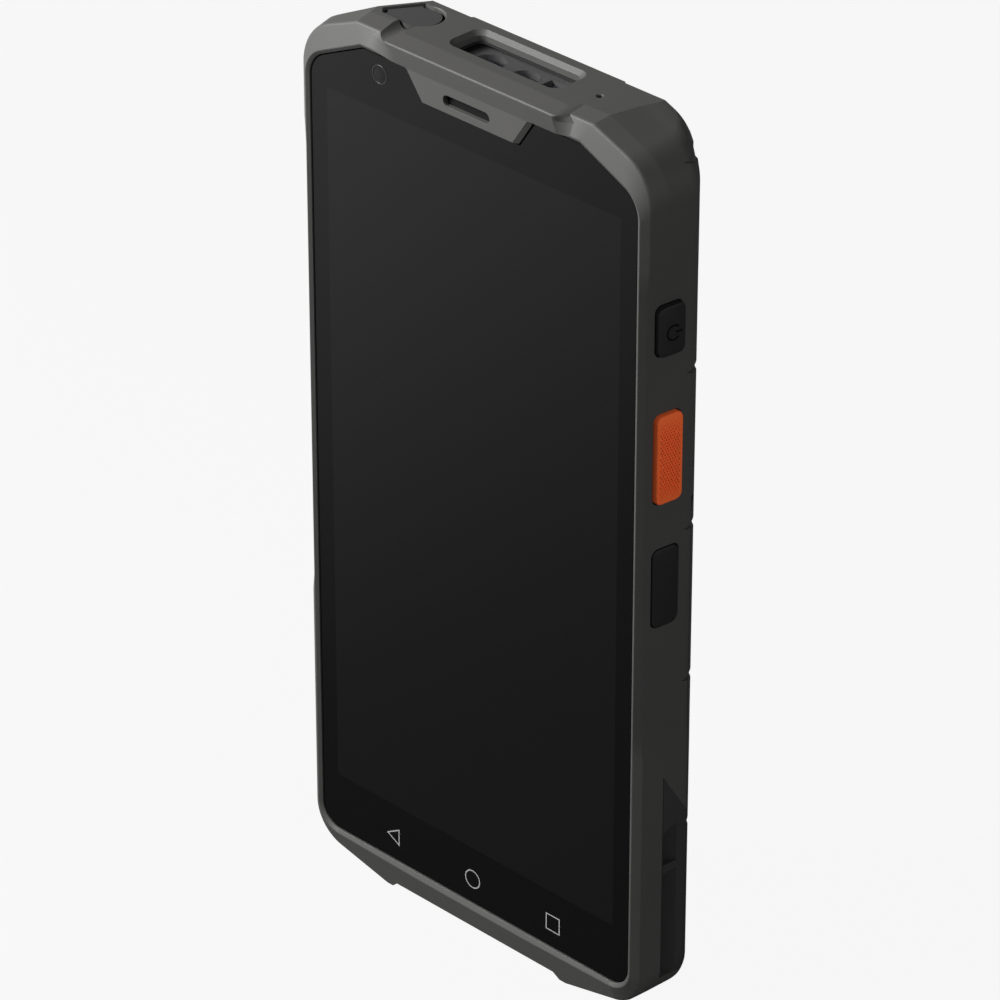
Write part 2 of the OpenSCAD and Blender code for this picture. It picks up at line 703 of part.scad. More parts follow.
flex_w = 8;                // width of the flat cable between the boards
flex_t = 0.2;
pin_pitch = 2.5;           // distance between the battery's contacts
contact_w = 6.4 * pin_pitch;
contact_h = 3.2;

module battery_tray() {
    color([0.1, 0.1, 0.11]) difference() {
        box(-switch_x, switch_x, y_plate_back, y_seam - 0.2, tray_low, tray_top);
        box(-switch_x + tray_wall, switch_x - tray_wall, y_plate_back + tray_floor, body_d,
            tray_low + tray_wall, tray_top - tray_wall + eps);
        box(-flex_w / 2 - 0.6, flex_w / 2 + 0.6, y_plate_back - eps, y_plate_back + tray_floor / 2,
            tray_low - 1, tray_top + 1);
        box(-contact_w / 2 - fit, contact_w / 2 + fit, y_plate_back + tray_floor / 2, y_seam,
            contact_z - contact_h / 2 - fit, contact_z + contact_h / 2 + fit);
    }
}

module battery_contacts() {
    color([0.83, 0.68, 0.3]) for (i = [-2 : 2])
        rod(i * pin_pitch, contact_z, 0.55, y_plate_back + tray_floor - 0.2, pack_y - 0.1);
    color([0.1, 0.1, 0.1]) box(-contact_w / 2, contact_w / 2, y_plate_back + tray_floor / 2,
        y_plate_back + tray_floor - 0.1, contact_z - contact_h / 2, contact_z + contact_h / 2);
}

module seal_outline() {
    intersection() {
        difference() {
            cavity_outline(-1.5);
            cavity_outline(-0.6);
        }
        translate([-hw, cover_seam + 2]) square([2 * hw, head_low - cover_seam - 2]);
    }
}

module cover_seal() {
    color([0.1, 0.1, 0.1]) slab(y_seam - 0.6, y_seam) seal_outline();
}

module cover_screws() {
    color([0.5, 0.5, 0.52]) both_sides() for (i = [0, 1]) difference() {
        union() {
            rod(lug_x[i], lug_z[i], screw_r, lug_y + 0.2, y_seam + 1.3);
            rod(lug_x[i], lug_z[i], 1.45, y_seam + 1.2, y_seam + 2.2);
        }
        rod(lug_x[i], lug_z[i], 0.55, y_seam + 1.6, y_seam + 3);
    }
}

// ---- boards ----

module main_board() {
    color([0.05, 0.3, 0.15]) slab(y_board, y_board_back) difference() {
        pad([0, (board_low + board_top) / 2], 2 * board_hw, board_top - board_low, 0.8);
        for (p = board_posts) translate(p) circle(0.9);
    }
}

can_t = 1.6;               // height of the shield cans

module shield_cans() {
    color([0.72, 0.73, 0.74]) {
        w = 2 * board_hw;
        h = board_top - board_low;
        for (c = [[-0.24, 0.24, 0.33, 0.34], [0.12, 0.24, 0.28, 0.34], [-0.2, 0.68, 0.36, 0.38]])
            slab(y_board_back, y_board_back + can_t)
                pad([c[0] * w, board_low + c[1] * h], c[2] * w, c[3] * h, 0.8);
    }
}

module board_screws() {
    color([0.75, 0.75, 0.77]) for (p = board_posts) difference() {
        union() {
            rod(p[0], p[1], 0.6, y_plate_back + 0.3, y_board_back + eps);
            rod(p[0], p[1], 1.4, y_board_back, y_board_back + 0.8);
        }
        rod(p[0], p[1], 0.5, y_board_back + 0.4, y_board_back + 1);
    }
}

switch_board_t = 0.6;

module switch_board(low) {
    side_slab(switch_x, switch_x + switch_board_t) pad([y_key + 0.4, (low + bracket_top) / 2],
        key_w - 1.5, bracket_top - low, 0.6);
}

module switch_board_right() {
    color([0.75, 0.5, 0.15]) switch_board(function_z - function_h / 2 + 0.8);
}

module switch_board_left() {
    color([0.75, 0.5, 0.15]) mirror([1, 0, 0]) switch_board(scan_z - scan_h / 2 - 0.4);
}

flange_x = cav_hw - 0.8;   // inner face of the keys' flanges

// Side switch with its plunger short of the key by the travel and a little more.
module side_switch(z) {
    x0 = switch_x + switch_board_t;
    x1 = x0 + key_room / 3;
    side_slab(x0, x1) pad([y_key + 0.4, z], key_w - 2.1, key_w - 1.5, 0.4);
    translate([x1 - 0.05, y_key + 0.4, z]) rotate([0, 90, 0])
        cylinder(h = flange_x - key_travel - x1, r = 0.9);
}

module side_switches_right() {
    color([0.8, 0.8, 0.78]) for (z = [power_z, scan_z, function_z]) side_switch(z);
}

module side_switches_left() {
    color([0.8, 0.8, 0.78]) mirror([1, 0, 0]) {
        side_switch(scan_z);
        side_switch(volume_z - volume_h * 0.31);
        side_switch(volume_z + volume_h * 0.31);
    }
}

// ---- side keys ----

key_lean = 0.32;           // how far a key's face leans out towards the back, either way

// Key on the right: a cap whose face slopes with the side, a stem and a flange behind the wall.
module side_key(z, h, out) {
    lean = key_lean;
    intersection() {
        side_slab(pocket_x + key_travel + 0.05, hw + 2) pad([y_key, z], key_w, h, 1.1);
        translate([0, 0, z - h / 2]) linear_extrude(h) polygon([
            [pocket_x - 1, y_key - key_w / 2],
            [side_x + out - lean - 0.35, y_key - key_w / 2],
            [side_x + out - lean, y_key - key_w / 2 + 0.35],
            [side_x + out + lean, y_key + key_w / 2 - 0.35],
            [side_x + out + lean - 0.35, y_key + key_w / 2],
            [pocket_x - 1, y_key + key_w / 2]]);
    }
    side_slab(flange_x + 0.3, pocket_x + key_travel + 0.1)
        pad([y_key + 0.4, z], key_w - 2.2, h - 2.8, 0.8);
    side_slab(flange_x, flange_x + 0.5) pad([y_key + 0.6, z], key_w - 1.1, h - 1.4, 0.8);
}

module power_key() { color([0.09, 0.09, 0.09]) side_key(power_z, power_h, key_out); }

module function_key() { color([0.09, 0.09, 0.09]) side_key(function_z, function_h, 0.05); }

// The volume key rocks about a round rib across the middle of its flange.
module volume_key() {
    color([0.09, 0.09, 0.09]) mirror([1, 0, 0]) {
        side_key(volume_z, volume_h, key_out);
        rod(flange_x + 0.25, volume_z, 0.4, y_key - key_w / 2 + 1.3, y_key + key_w / 2 - 0.1);
    }
}

// Scan key: the same key with a face crowned along its height.
module crowned_key() {
    crown_r = 4 * scan_h;
    intersection() {
        side_key(scan_z, scan_h, scan_out);
        translate([side_x + scan_out + key_lean - crown_r, -key_w, scan_z]) rotate([-90, 0, 0])
            cylinder(h = body_d + key_w, r = crown_r, $fn = 200);
    }
}

module scan_key_right() { color([0.85, 0.33, 0.13]) crowned_key(); }

module scan_key_left() { color([0.85, 0.33, 0.13]) mirror([1, 0, 0]) crowned_key(); }

// ---- scan engine ----

engine_top = z_cav_top - 0.25;
engine_y0 = y_plate_back + 0.5;
engine_y1 = y_cover_in - 0.2;
window_z = z_cav_top;

lens_y = scan_y - 0.15;
imager_x = engine_x + engine_w * 0.07;
light_x = engine_x - engine_w * 0.286;
aimer_x = engine_x + engine_w * 0.356;
light_r = 2.7;
aimer_w = 4.7;

module scan_window() {
    color([0.1, 0.1, 0.11, 0.5]) translate([0, 0, window_z]) linear_extrude(window_t)
        pad(scan_c, scan_open_w + 2 * window_seat, scan_open_d + 2 * window_seat, window_r);
}

module scan_engine() {
    color([0.12, 0.12, 0.12]) difference() {
        box(engine_x - engine_w / 2, engine_x + engine_w / 2, engine_y0, engine_y1,
            engine_top - engine_h, engine_top);
        translate([imager_x, lens_y, engine_top - 3]) cylinder(h = 4, r = imager_r + 0.05);
        translate([light_x, lens_y, engine_top - 1.5]) cylinder(h = 3, r = light_r + 0.05);
        translate([aimer_x, lens_y, engine_top]) cube([aimer_w + 0.1, aimer_w + 0.1, 3.2], center = true);
    }
}

module imager_lens() {
    color([0.1, 0.12, 0.2]) translate([imager_x, lens_y, engine_top - 3]) {
        cylinder(h = 1.6, r = imager_r);
        intersection() {
            cylinder(h = 3, r = imager_r);
            translate([0, 0, 2.4 - 5]) sphere(5);
        }
    }
}

module light_lens() {
    color([0.8, 0.8, 0.78, 0.6]) translate([light_x, lens_y, engine_top - 1.5]) intersection() {
        cylinder(h = 3, r = light_r);
        translate([0, 0, 1.45 - 4]) sphere(4);
    }
}

module aimer_lens() {
    color([0.3, 0.3, 0.32, 0.6]) translate([aimer_x, lens_y, engine_top - 1.15])
        cube([aimer_w, aimer_w, 0.9], center = true);
}

// ---- audio jack and its cover ----

module audio_jack() {
    color([0.08, 0.08, 0.08]) difference() {
        union() {
            box(plug_x - jack_w / 2, plug_x + jack_w / 2, plug_y - jack_d / 2, plug_y + jack_d / 2,
                z_cav_top - 12.9, z_cav_top - 1);
            translate([plug_x, plug_y, z_cav_top - 1.1]) cylinder(h = 1.7, r = 2.55);
        }
        translate([plug_x, plug_y, z_cav_top - 12]) cylinder(h = 20, r = jack_bore_r);
    }
}

module jack_cover() {
    color([0.07, 0.07, 0.07]) {
        translate([0, 0, plug_top - plug_t]) linear_extrude(plug_t) {
            translate([plug_x, plug_y]) circle(plug_r);
            polygon([[plug_x, plug_y - plug_r + 0.2], [plug_x - 4.3, plug_y - plug_r + 0.25],
                by_pin(0, 0.3), by_pin(4.8, 0.3), [plug_x, plug_y]]);
        }
        p = by_pin(0.1, 0);
        translate([p[0], p[1], pin_z]) rotate([0, 90, cut_turn]) cylinder(h = 4.8, r = pin_r);
        translate([plug_x, plug_y, plug_top - plug_t - 0.3]) cylinder(h = 0.35, r = jack_bore_r - 0.4);
    }
}

// ---- sound, cameras, ports ----

module earpiece() {
    color([0.2, 0.2, 0.2]) slab(0.7, y_plate) pad([ear_x, ear_z], ear_w, ear_h, 0.8);
}

module earpiece_mesh() {
    color([0.05, 0.05, 0.05]) slab(0.4, 0.7) pad([ear_x, ear_z], ear_w - 0.4, ear_h - 0.2, 0.8);
}

module microphone() {
    color([0.7, 0.65, 0.4]) box(mic_x - 1.9, mic_x + 1.9, mic_y - 1.4, mic_y + 1.4,
        z_cav_top - 1, z_cav_top);
}

module front_camera() {
    color([0.05, 0.05, 0.06]) {
        slab(y_ledge + 0.7, y_plate_back + 1) pad([cam_x, cam_z], cam_w, cam_w, 0.5);
        rod(cam_x, cam_z, 2, glass_t, y_ledge + 0.8);
    }
}

module rear_camera() {
    color([0.06, 0.06, 0.07]) {
        slab(y_board_back, y_cover_in - 1.2) pad([rear_cam_x, rear_cam_z], cam_block, cam_block, 0.6);
        rod(rear_cam_x, rear_cam_z, 3.2, y_cover_in - 1.3, body_d - 1);
    }
}

module camera_window() {
    color([0.05, 0.05, 0.06, 0.6]) rod(rear_cam_x, rear_cam_z, 5, body_d - 0.9, body_d - 0.1);
}

module flash_lens() {
    color([0.9, 0.88, 0.75, 0.7]) rod(rear_cam_x, flash_z, 2, y_board_back, body_d - 0.2);
}

sub_low = z_cav_low + 0.8;
sub_top = tray_low - 0.5;
motor_r = (y_seam - y_board_back - 0.1) / 2;
motor_l = 11;

module usb_board() {
    color([0.05, 0.3, 0.15]) slab(y_board, y_board_back)
        pad([0, (sub_low + sub_top) / 2], 2 * plate_screw_x - 7, sub_top - sub_low, 0.6);
}

module usb_connector() {
    color([0.75, 0.75, 0.77]) difference() {
        translate([0, usb_y, z_cav_low - 0.9]) linear_extrude(7.3) pad([0, 0], usb_w, usb_t, 1.5);
        translate([0, usb_y, z_cav_low - 1]) linear_extrude(6) difference() {
            pad([0, 0], usb_w - 0.6, usb_t - 0.6, 1.2);
            square([usb_w - 2.3, 0.7], center = true);
        }
    }
}

module loudspeaker() {
    color([0.12, 0.12, 0.12]) slab(y_board_back, y_seam - 0.1)
        pad([speaker_x, (z_cav_low + 0.6 + sub_top) / 2], speaker_w, sub_top - z_cav_low - 0.6, 1);
}

module vibration_motor() {
    color([0.7, 0.7, 0.72]) translate([-speaker_x - motor_l / 2, y_board_back + motor_r,
        (sub_low + sub_top) / 2]) rotate([0, 90, 0]) cylinder(h = motor_l, r = motor_r);
}

module board_flex() {
    color([0.75, 0.45, 0.1]) {
        w = flex_w / 2;
        y0 = y_plate_back + flex_t;
        box(-w, w, y_plate_back, y0, sub_low + 1, board_low + 5);
        box(-w, w, y0 - eps, y_board, sub_low + 1, sub_low + 4);
        box(-w, w, y0 - eps, y_board, board_low + 2, board_low + 5);
    }
}

// ---- battery pack ----

module battery_cell() {
    color([0.55, 0.56, 0.58]) difference() {
        slab(pack_y, y_cover_in) pad([0, (pack_low + pack_top) / 2], 2 * pack_hw, pack_top - pack_low, 1.5);
        box(-2.5 * pin_pitch, 2.5 * pin_pitch, pack_y - 1, pack_y + pad_t, contact_z - 1.2,
            contact_z + 1.2);
    }
}

pad_t = 0.4;               // thickness of the battery's contact pads

module battery_pads() {
    color([0.85, 0.7, 0.3]) for (i = [-2 : 2]) translate([i * pin_pitch, 0, contact_z])
        slab(pack_y, pack_y + pad_t) square([0.72 * pin_pitch, 2.2], center = true);
}

module nfc_antenna() {
    color([0.2, 0.2, 0.25]) slab(y_cover_in - 0.3, y_cover_in) difference() {
        c = [-board_hw / 4, (board_low + board_top) / 2];
        pad(c, board_hw * 1.1, board_hw * 0.9, 2);
        pad(c, board_hw * 1.1 - 6, board_hw * 0.9 - 6, 1.5);
    }
}

// Sets the body on its feet with the origin under its middle.
module stand() {
    translate([0, -mid_y, -z_foot]) children();
}

stand() front_housing();
stand() rear_cover();
stand() battery_cover();
stand() corner_guards();
stand() cover_glass();
stand() display_panel();
stand() glass_seal();
stand() midplate();
stand() midplate_screws();
stand() battery_tray();
stand() cover_seal();
stand() cover_screws();
stand() main_board();
stand() shield_cans();
stand() board_screws();
stand() switch_board_right();
stand() switch_board_left();
stand() side_switches_right();
stand() side_switches_left();
stand() power_key();
stand() scan_key_right();
stand() function_key();
stand() scan_key_left();
stand() volume_key();
stand() scan_window();
stand() scan_engine();
stand() imager_lens();
stand() light_lens();
stand() aimer_lens();
stand() audio_jack();
stand() jack_cover();
stand() earpiece();
stand() earpiece_mesh();
stand() microphone();
stand() front_camera();
stand() rear_camera();
stand() camera_window();
stand() flash_lens();
stand() usb_board();
stand() usb_connector();
stand() loudspeaker();
stand() vibration_motor();
stand() board_flex();
stand() battery_cell();
stand() battery_pads();
stand() battery_contacts();
stand() nfc_antenna();
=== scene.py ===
"""Looks of a portable barcode data terminal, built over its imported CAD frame.

Places are in millimetres from the middle of the lit display area: x to the right as seen from
the display, y from the glass to the back, z up. at() turns one into the row frame, in metres.
"""
import math

import bmesh
import bpy
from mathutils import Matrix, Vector

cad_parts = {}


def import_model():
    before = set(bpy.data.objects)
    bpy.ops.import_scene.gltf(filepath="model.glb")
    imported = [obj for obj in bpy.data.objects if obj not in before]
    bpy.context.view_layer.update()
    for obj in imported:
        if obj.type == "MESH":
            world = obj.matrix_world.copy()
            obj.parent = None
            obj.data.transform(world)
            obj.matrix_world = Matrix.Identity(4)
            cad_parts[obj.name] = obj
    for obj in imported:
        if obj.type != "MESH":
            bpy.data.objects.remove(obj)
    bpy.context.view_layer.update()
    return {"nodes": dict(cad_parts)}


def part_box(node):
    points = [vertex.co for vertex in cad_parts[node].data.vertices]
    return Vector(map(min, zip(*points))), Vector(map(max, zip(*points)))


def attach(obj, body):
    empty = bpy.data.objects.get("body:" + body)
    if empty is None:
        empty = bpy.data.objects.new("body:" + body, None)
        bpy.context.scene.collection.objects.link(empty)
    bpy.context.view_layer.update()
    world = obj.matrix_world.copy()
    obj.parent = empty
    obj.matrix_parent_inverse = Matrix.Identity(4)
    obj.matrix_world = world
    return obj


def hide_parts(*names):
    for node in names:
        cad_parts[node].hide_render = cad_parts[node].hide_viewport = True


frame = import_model()

MM = 0.001

# ---- sizes, read from the frame where it has them ----
HOUSING_LOW, HOUSING_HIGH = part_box("front_housing")
GLASS_LOW, GLASS_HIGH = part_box("cover_glass")
BACK_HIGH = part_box("battery_cover")[1]

DISPLAY_W, DISPLAY_H = 62.5, 125.0      # lit area
FOREHEAD = 13.5                         # body above the lit area
Z_TOP = DISPLAY_H / 2 + FOREHEAD
CENTRE_Z = HOUSING_HIGH.z - Z_TOP * MM  # height of the display's middle
GLASS_Y = GLASS_LOW.y                   # depth of the glass front


def at(x, y, z):
    """Row-frame point of a place in display-centred millimetres."""
    return Vector((x * MM, GLASS_Y + y * MM, CENTRE_Z + z * MM))


def local(point):
    """Display-centred millimetres of a row-frame point."""
    return Vector((point.x / MM, (point.y - GLASS_Y) / MM, (point.z - CENTRE_Z) / MM))


HALF_W = HOUSING_HIGH.x / MM
BODY_D = local(BACK_HIGH).y
Z_FOOT = local(HOUSING_LOW).z
SIDE_X = HALF_W - 0.8                   # side face at the keys
WALL = 1.8
SHELL = 1.8                             # wall of the back covers
OVER = 1.0                              # how far a cutter reaches past what it cuts
CAVITY_HW = SIDE_X - WALL
OPEN_HW = HALF_W - 3.15                 # half width of the glass opening
GLASS_TOP = Z_TOP - 4.05
GLASS_BOTTOM = Z_FOOT + 6
TAB_LOW = GLASS_TOP - 4.65
GLASS_T = (GLASS_HIGH.y - GLASS_LOW.y) / MM
LEDGE_Y = GLASS_T + 0.2
SEAM_Y = 9.6                            # seam between housing and rear covers
COVER_IN_Y = BODY_D - SHELL             # inner face of the rear covers
PLATE_Y = local(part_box("midplate")[0]).y
HEAD_LOW = Z_TOP - 3.4
TAIL_TOP = Z_FOOT + 8.4
COVER_SEAM = 14.0                       # height of the seam between the two back covers
COVER_GAP = 0.15
CAVITY_TOP = Z_TOP - 2.4
CAVITY_LOW = Z_FOOT + 3.2

ARC_STEPS = 20
FILLET_STEPS = 6
CREASE = 13                             # edges sharper than this stay crisp, in degrees


# ---- mesh helpers ----
def mesh_object(name, verts, faces, material=None):
    mesh = bpy.data.meshes.new(name)
    mesh.from_pydata([tuple(v) for v in verts], [], faces)
    mesh.validate()
    work = bmesh.new()
    work.from_mesh(mesh)
    bmesh.ops.remove_doubles(work, verts=work.verts, dist=1e-7)
    bmesh.ops.recalc_face_normals(work, faces=work.faces)
    work.to_mesh(mesh)
    work.free()
    obj = bpy.data.objects.new(name, mesh)
    bpy.context.scene.collection.objects.link(obj)
    if material:
        mesh.materials.append(material)
    return obj


def grid_object(name, rings, material=None):
    """Closed solid through rings of display-centred points, capped at both ends."""
    count = len(rings[0])
    verts = [at(*p) for ring in rings for p in ring]
    faces = []
    for j in range(len(rings) - 1):
        for i in range(count):
            k = (i + 1) % count
            faces.append((j * count + i, j * count + k, (j + 1) * count + k, (j + 1) * count + i))
    faces.append(tuple(range(count))[::-1])
    faces.append(tuple((len(rings) - 1) * count + i for i in range(count)))
    return mesh_object(name, verts, faces, material)


def filleted(rings, sizes):
    """Rounds the crease at each inner ring: every column of points gets a short curve there."""
    out = [rings[0]]
    for k in range(1, len(rings) - 1):
        size = sizes[k]
        if not size:
            out.append(rings[k])
            continue
        for step in range(FILLET_STEPS + 1):
            t = step / FILLET_STEPS
            ring = []
            for before, here, after in zip(rings[k - 1], rings[k], rings[k + 1]):
                a, b, c = Vector(before), Vector(here), Vector(after)
                a = b + (a - b).normalized() * min(size, (a - b).length * 0.45)
                c = b + (c - b).normalized() * min(size, (c - b).length * 0.45)
                ring.append(tuple(a * (1 - t) ** 2 + b * 2 * t * (1 - t) + c * t * t))
            out.append(ring)
    out.append(rings[-1])
    return out


def boolean(obj, other, operation):
    step = obj.modifiers.new("cut", "BOOLEAN")
    step.operation = operation
    step.solver = "EXACT"
    step.object = other
    bpy.context.view_layer.update()
    graph = bpy.context.evaluated_depsgraph_get()
    made = bpy.data.meshes.new_from_object(obj.evaluated_get(graph))
    obj.modifiers.clear()
    old = obj.data
    obj.data = made
    made.name = obj.name
    bpy.data.meshes.remove(old)


def drop(*objects):
    for obj in objects:
        bpy.data.objects.remove(obj)


def cut(obj, *cutters):
    for cutter in cutters:
        boolean(obj, cutter, "DIFFERENCE")
        drop(cutter)


def smooth(obj, angle=30):
    """Smooth shading that stays crisp at edges sharper than the angle."""
    for face in obj.data.polygons:
        face.use_smooth = True
    obj.data.set_sharp_from_angle(angle=math.radians(angle))
    return obj


def faceted(obj, angle=CREASE):
    """Smooth shading in which each broad face stays flat up to its narrow rounded edge."""
    smooth(obj, angle)
    step = obj.modifiers.new("flat_faces", "WEIGHTED_NORMAL")
    step.mode = "FACE_AREA"
    step.weight = 90
    step.keep_sharp = True
    return obj


def bevelled(obj, width, angle=35, segments=3):
    step = obj.modifiers.new("bevel", "BEVEL")
    step.width = width * MM
    step.segments = segments
    step.limit_method = "ANGLE"
    step.angle_limit = math.radians(angle)
    step.harden_normals = True
    return smooth(obj, 40)


def arc(cx, cz, r, start, end, steps=ARC_STEPS):
    turn = [math.radians(start + (end - start) * i / steps) for i in range(steps + 1)]
    return [(cx + r * math.cos(a), cz + r * math.sin(a)) for a in turn]


def pad_points(w, h, r, steps=8):
    """Rounded rectangle round the origin."""
    x, z = w / 2 - r, h / 2 - r
    return (arc(x, z, r, 0, 90, steps) + arc(-x, z, r, 90, 180, steps)
            + arc(-x, -z, r, 180, 270, steps) + arc(x, -z, r, 270, 360, steps))


def stacked(axis, centre, place, u, v):
    """Point at a place along an axis, and at u and v across it from the centre."""
    u, v = centre[0] + u, centre[1] + v
    return {"x": (place, u, v), "y": (u, place, v), "z": (u, v, place)}[axis]


def pad_solid(name, axis, centre, stations, material=None):
    """Solid of rounded rectangles (place, width, height, radius) stacked along an axis.

    Width and height run along x and z for axis y, y and z for axis x, x and y for axis z.
    """
    rings = [[stacked(axis, centre, place, u, v) for u, v in pad_points(w, h, r)]
             for place, w, h, r in stations]
    return grid_object(name, rings, material)


def round_solid(name, axis, centre, stations, material=None, steps=64):
    """Turned solid: circles (place, radius) stacked along an axis."""
    turns = [2 * math.pi * i / steps for i in range(steps)]
    rings = [[stacked(axis, centre, place, r * math.cos(a), r * math.sin(a)) for a in turns]
             for place, r in stations]
    return grid_object(name, rings, material)


def prism(name, axis, points, low, high, material=None):
    """Straight solid of a flat outline: (x, z) along y, (y, z) along x, (x, y) along z."""
    place = {"x": lambda p, t: (t, p[0], p[1]), "y": lambda p, t: (p[0], t, p[1]),
             "z": lambda p, t: (p[0], p[1], t)}[axis]
    return grid_object(name, [[place(p, t) for p in points] for t in (low, high)], material)


def box_solid(name, low, high):
    points = [(low[0], low[2]), (high[0], low[2]), (high[0], high[2]), (low[0], high[2])]
    return prism(name, "y", points, low[1], high[1])


# ---- materials ----
def tinted(colour, factor):
    return tuple(min(1.0, c * factor) for c in colour[:3]) + (1.0,)


def material(name, colour, rough=0.5, level=0.3, grain=0.25, bump=0.03, shade=0.12,
             metal=0.0, rough_spread=0.08, coat=0.0):
    """Moulded or metal surface: fine grain in its bump, slow drift in its colour and gloss.

    grain is the texture's size in millimetres and bump its depth.
    """
    mat = bpy.data.materials.new(name)
    mat.use_nodes = True
    nodes, links = mat.node_tree.nodes, mat.node_tree.links
    shader = nodes["Principled BSDF"]
    shader.inputs["Metallic"].default_value = metal
    shader.inputs["Specular IOR Level"].default_value = level
    shader.inputs["Coat Weight"].default_value = coat
    place = nodes.new("ShaderNodeTexCoord")

    drift = nodes.new("ShaderNodeTexNoise")
    drift.inputs["Scale"].default_value = 60.0
    drift.inputs["Detail"].default_value = 5.0
    links.new(place.outputs["Object"], drift.inputs["Vector"])
    fine = nodes.new("ShaderNodeTexNoise")
    fine.inputs["Scale"].default_value = 1.0 / (grain * MM)
    fine.inputs["Detail"].default_value = 3.0
    links.new(place.outputs["Object"], fine.inputs["Vector"])

    mix = nodes.new("ShaderNodeMix")
    mix.data_type = "RGBA"
    mix.inputs[6].default_value = tinted(colour, 1 - shade)
    mix.inputs[7].default_value = tinted(colour, 1 + shade)
    links.new(drift.outputs["Fac"], mix.inputs[0])
    links.new(mix.outputs[2], shader.inputs["Base Color"])

    gloss = nodes.new("ShaderNodeMapRange")
    gloss.inputs["To Min"].default_value = max(0.02, rough - rough_spread)
    gloss.inputs["To Max"].default_value = min(1.0, rough + rough_spread)
    links.new(fine.outputs["Fac"], gloss.inputs["Value"])
    links.new(gloss.outputs["Result"], shader.inputs["Roughness"])

    relief = nodes.new("ShaderNodeBump")
    relief.inputs["Strength"].default_value = 0.5
    relief.inputs["Distance"].default_value = bump * MM
    links.new(fine.outputs["Fac"], relief.inputs["Height"])
    links.new(relief.outputs["Normal"], shader.inputs["Normal"])
    return mat


HOUSING = material("housing_plastic", (0.048, 0.0475, 0.046), rough=0.60, level=0.42)
COVER = material("cover_plastic", (0.044, 0.044, 0.043), rough=0.62, level=0.36)
GUARD = material("guard_rubber", (0.028, 0.028, 0.028), rough=0.66, level=0.25, bump=0.02)
BLACK_KEY = material("black_key", (0.012, 0.012, 0.013), rough=0.5, level=0.3)
ORANGE_KEY = material("orange_key", (0.97, 0.150, 0.033), rough=0.5, level=0.25, shade=0.03)
RUBBER = material("plug_rubber", (0.036, 0.036, 0.036), rough=0.62, level=0.25, bump=0.02)
ENGINE = material("engine_plastic", (0.020, 0.020, 0.021), rough=0.5, level=0.2)
SWITCH = material("switch_plastic", (0.60, 0.60, 0.58), rough=0.45, level=0.4)
TRAY = material("tray_plastic", (0.030, 0.030, 0.032), rough=0.5, level=0.2)
# seal rubber, also used for the dark ring of painted shade round the scan window
SEAL_AND_SHADE = material("seal_rubber_and_shade", (0.020, 0.020, 0.020), rough=0.75, level=0.15)
BOARD = material("board_lacquer", (0.015, 0.13, 0.06), rough=0.35, level=0.4, grain=1.2)
FLEX = material("flex_film", (0.42, 0.20, 0.03), rough=0.3, level=0.5, grain=0.8)
STEEL = material("steel", (0.62, 0.62, 0.64), rough=0.32, metal=1.0, grain=0.5, bump=0.004)
DARK_STEEL = material("dark_steel", (0.10, 0.10, 0.11), rough=0.38, metal=1.0, bump=0.004)
PLATE = material("plate_metal", (0.55, 0.56, 0.57), rough=0.42, metal=1.0, grain=0.9, bump=0.006)
CELL = material("cell_film", (0.42, 0.43, 0.45), rough=0.36, metal=0.6, grain=2.0, bump=0.01)
GOLD = material("gold", (0.80, 0.60, 0.25), rough=0.25, metal=1.0, bump=0.002)
LENS = material("lens_glass", (0.010, 0.012, 0.020), rough=0.06, level=0.6, bump=0.0)
CLEAR = material("clear_plastic", (0.30, 0.30, 0.29), rough=0.12, level=0.5, bump=0.001)
MESH = material("mesh_cloth", (0.006, 0.006, 0.006), rough=0.8, level=0.1, grain=0.2, bump=0.05)
MARK = material("printed_mark", (0.30, 0.30, 0.30), rough=0.5, level=0.1, bump=0.0, shade=0.05)
INLAY = material("dark_inlay", (0.003, 0.003, 0.003), rough=0.6, level=0.1)
TRIM = material("camera_trim", (0.008, 0.008, 0.008), rough=0.3, level=0.3, bump=0.004)
CAMERA = material("camera_glass", (0.001, 0.001, 0.001), rough=0.2, level=0.18, bump=0.0)
READER = material("reader_frame", (0.085, 0.085, 0.085), rough=0.55, level=0.2)


def glass_material():
    """Black-printed cover glass over a dark display: the lit area is a shade lighter."""
    mat = material("cover_glass", (0.0006, 0.0006, 0.0007), rough=0.26, level=0.15, bump=0.0,
                   rough_spread=0.02)
    nodes, links = mat.node_tree.nodes, mat.node_tree.links
    shader = nodes["Principled BSDF"]
    place = nodes["Texture Coordinate"]
    split = nodes.new("ShaderNodeSeparateXYZ")
    links.new(place.outputs["Object"], split.inputs["Vector"])
    inside = []
    for axis, middle, half in (("X", 0.0, DISPLAY_W / 2 * MM), ("Z", CENTRE_Z, DISPLAY_H / 2 * MM)):
        offset = nodes.new("ShaderNodeMath")
        offset.operation = "SUBTRACT"
        offset.inputs[1].default_value = middle
        links.new(split.outputs[axis], offset.inputs[0])
        size = nodes.new("ShaderNodeMath")
        size.operation = "ABSOLUTE"
        links.new(offset.outputs[0], size.inputs[0])
        test = nodes.new("ShaderNodeMath")
        test.operation = "LESS_THAN"
        test.inputs[1].default_value = half
        links.new(size.outputs[0], test.inputs[0])
        inside.append(test)
    both = nodes.new("ShaderNodeMath")
    both.operation = "MULTIPLY"
    links.new(inside[0].outputs[0], both.inputs[0])
    links.new(inside[1].outputs[0], both.inputs[1])
    border = shader.inputs["Base Color"].links[0].from_socket
    mix = nodes.new("ShaderNodeMix")
    mix.data_type = "RGBA"
    mix.inputs[7].default_value = (0.0028, 0.0028, 0.0029, 1)
    links.new(both.outputs[0], mix.inputs[0])
    links.new(border, mix.inputs[6])
    links.new(mix.outputs[2], shader.inputs["Base Color"])
    return mat


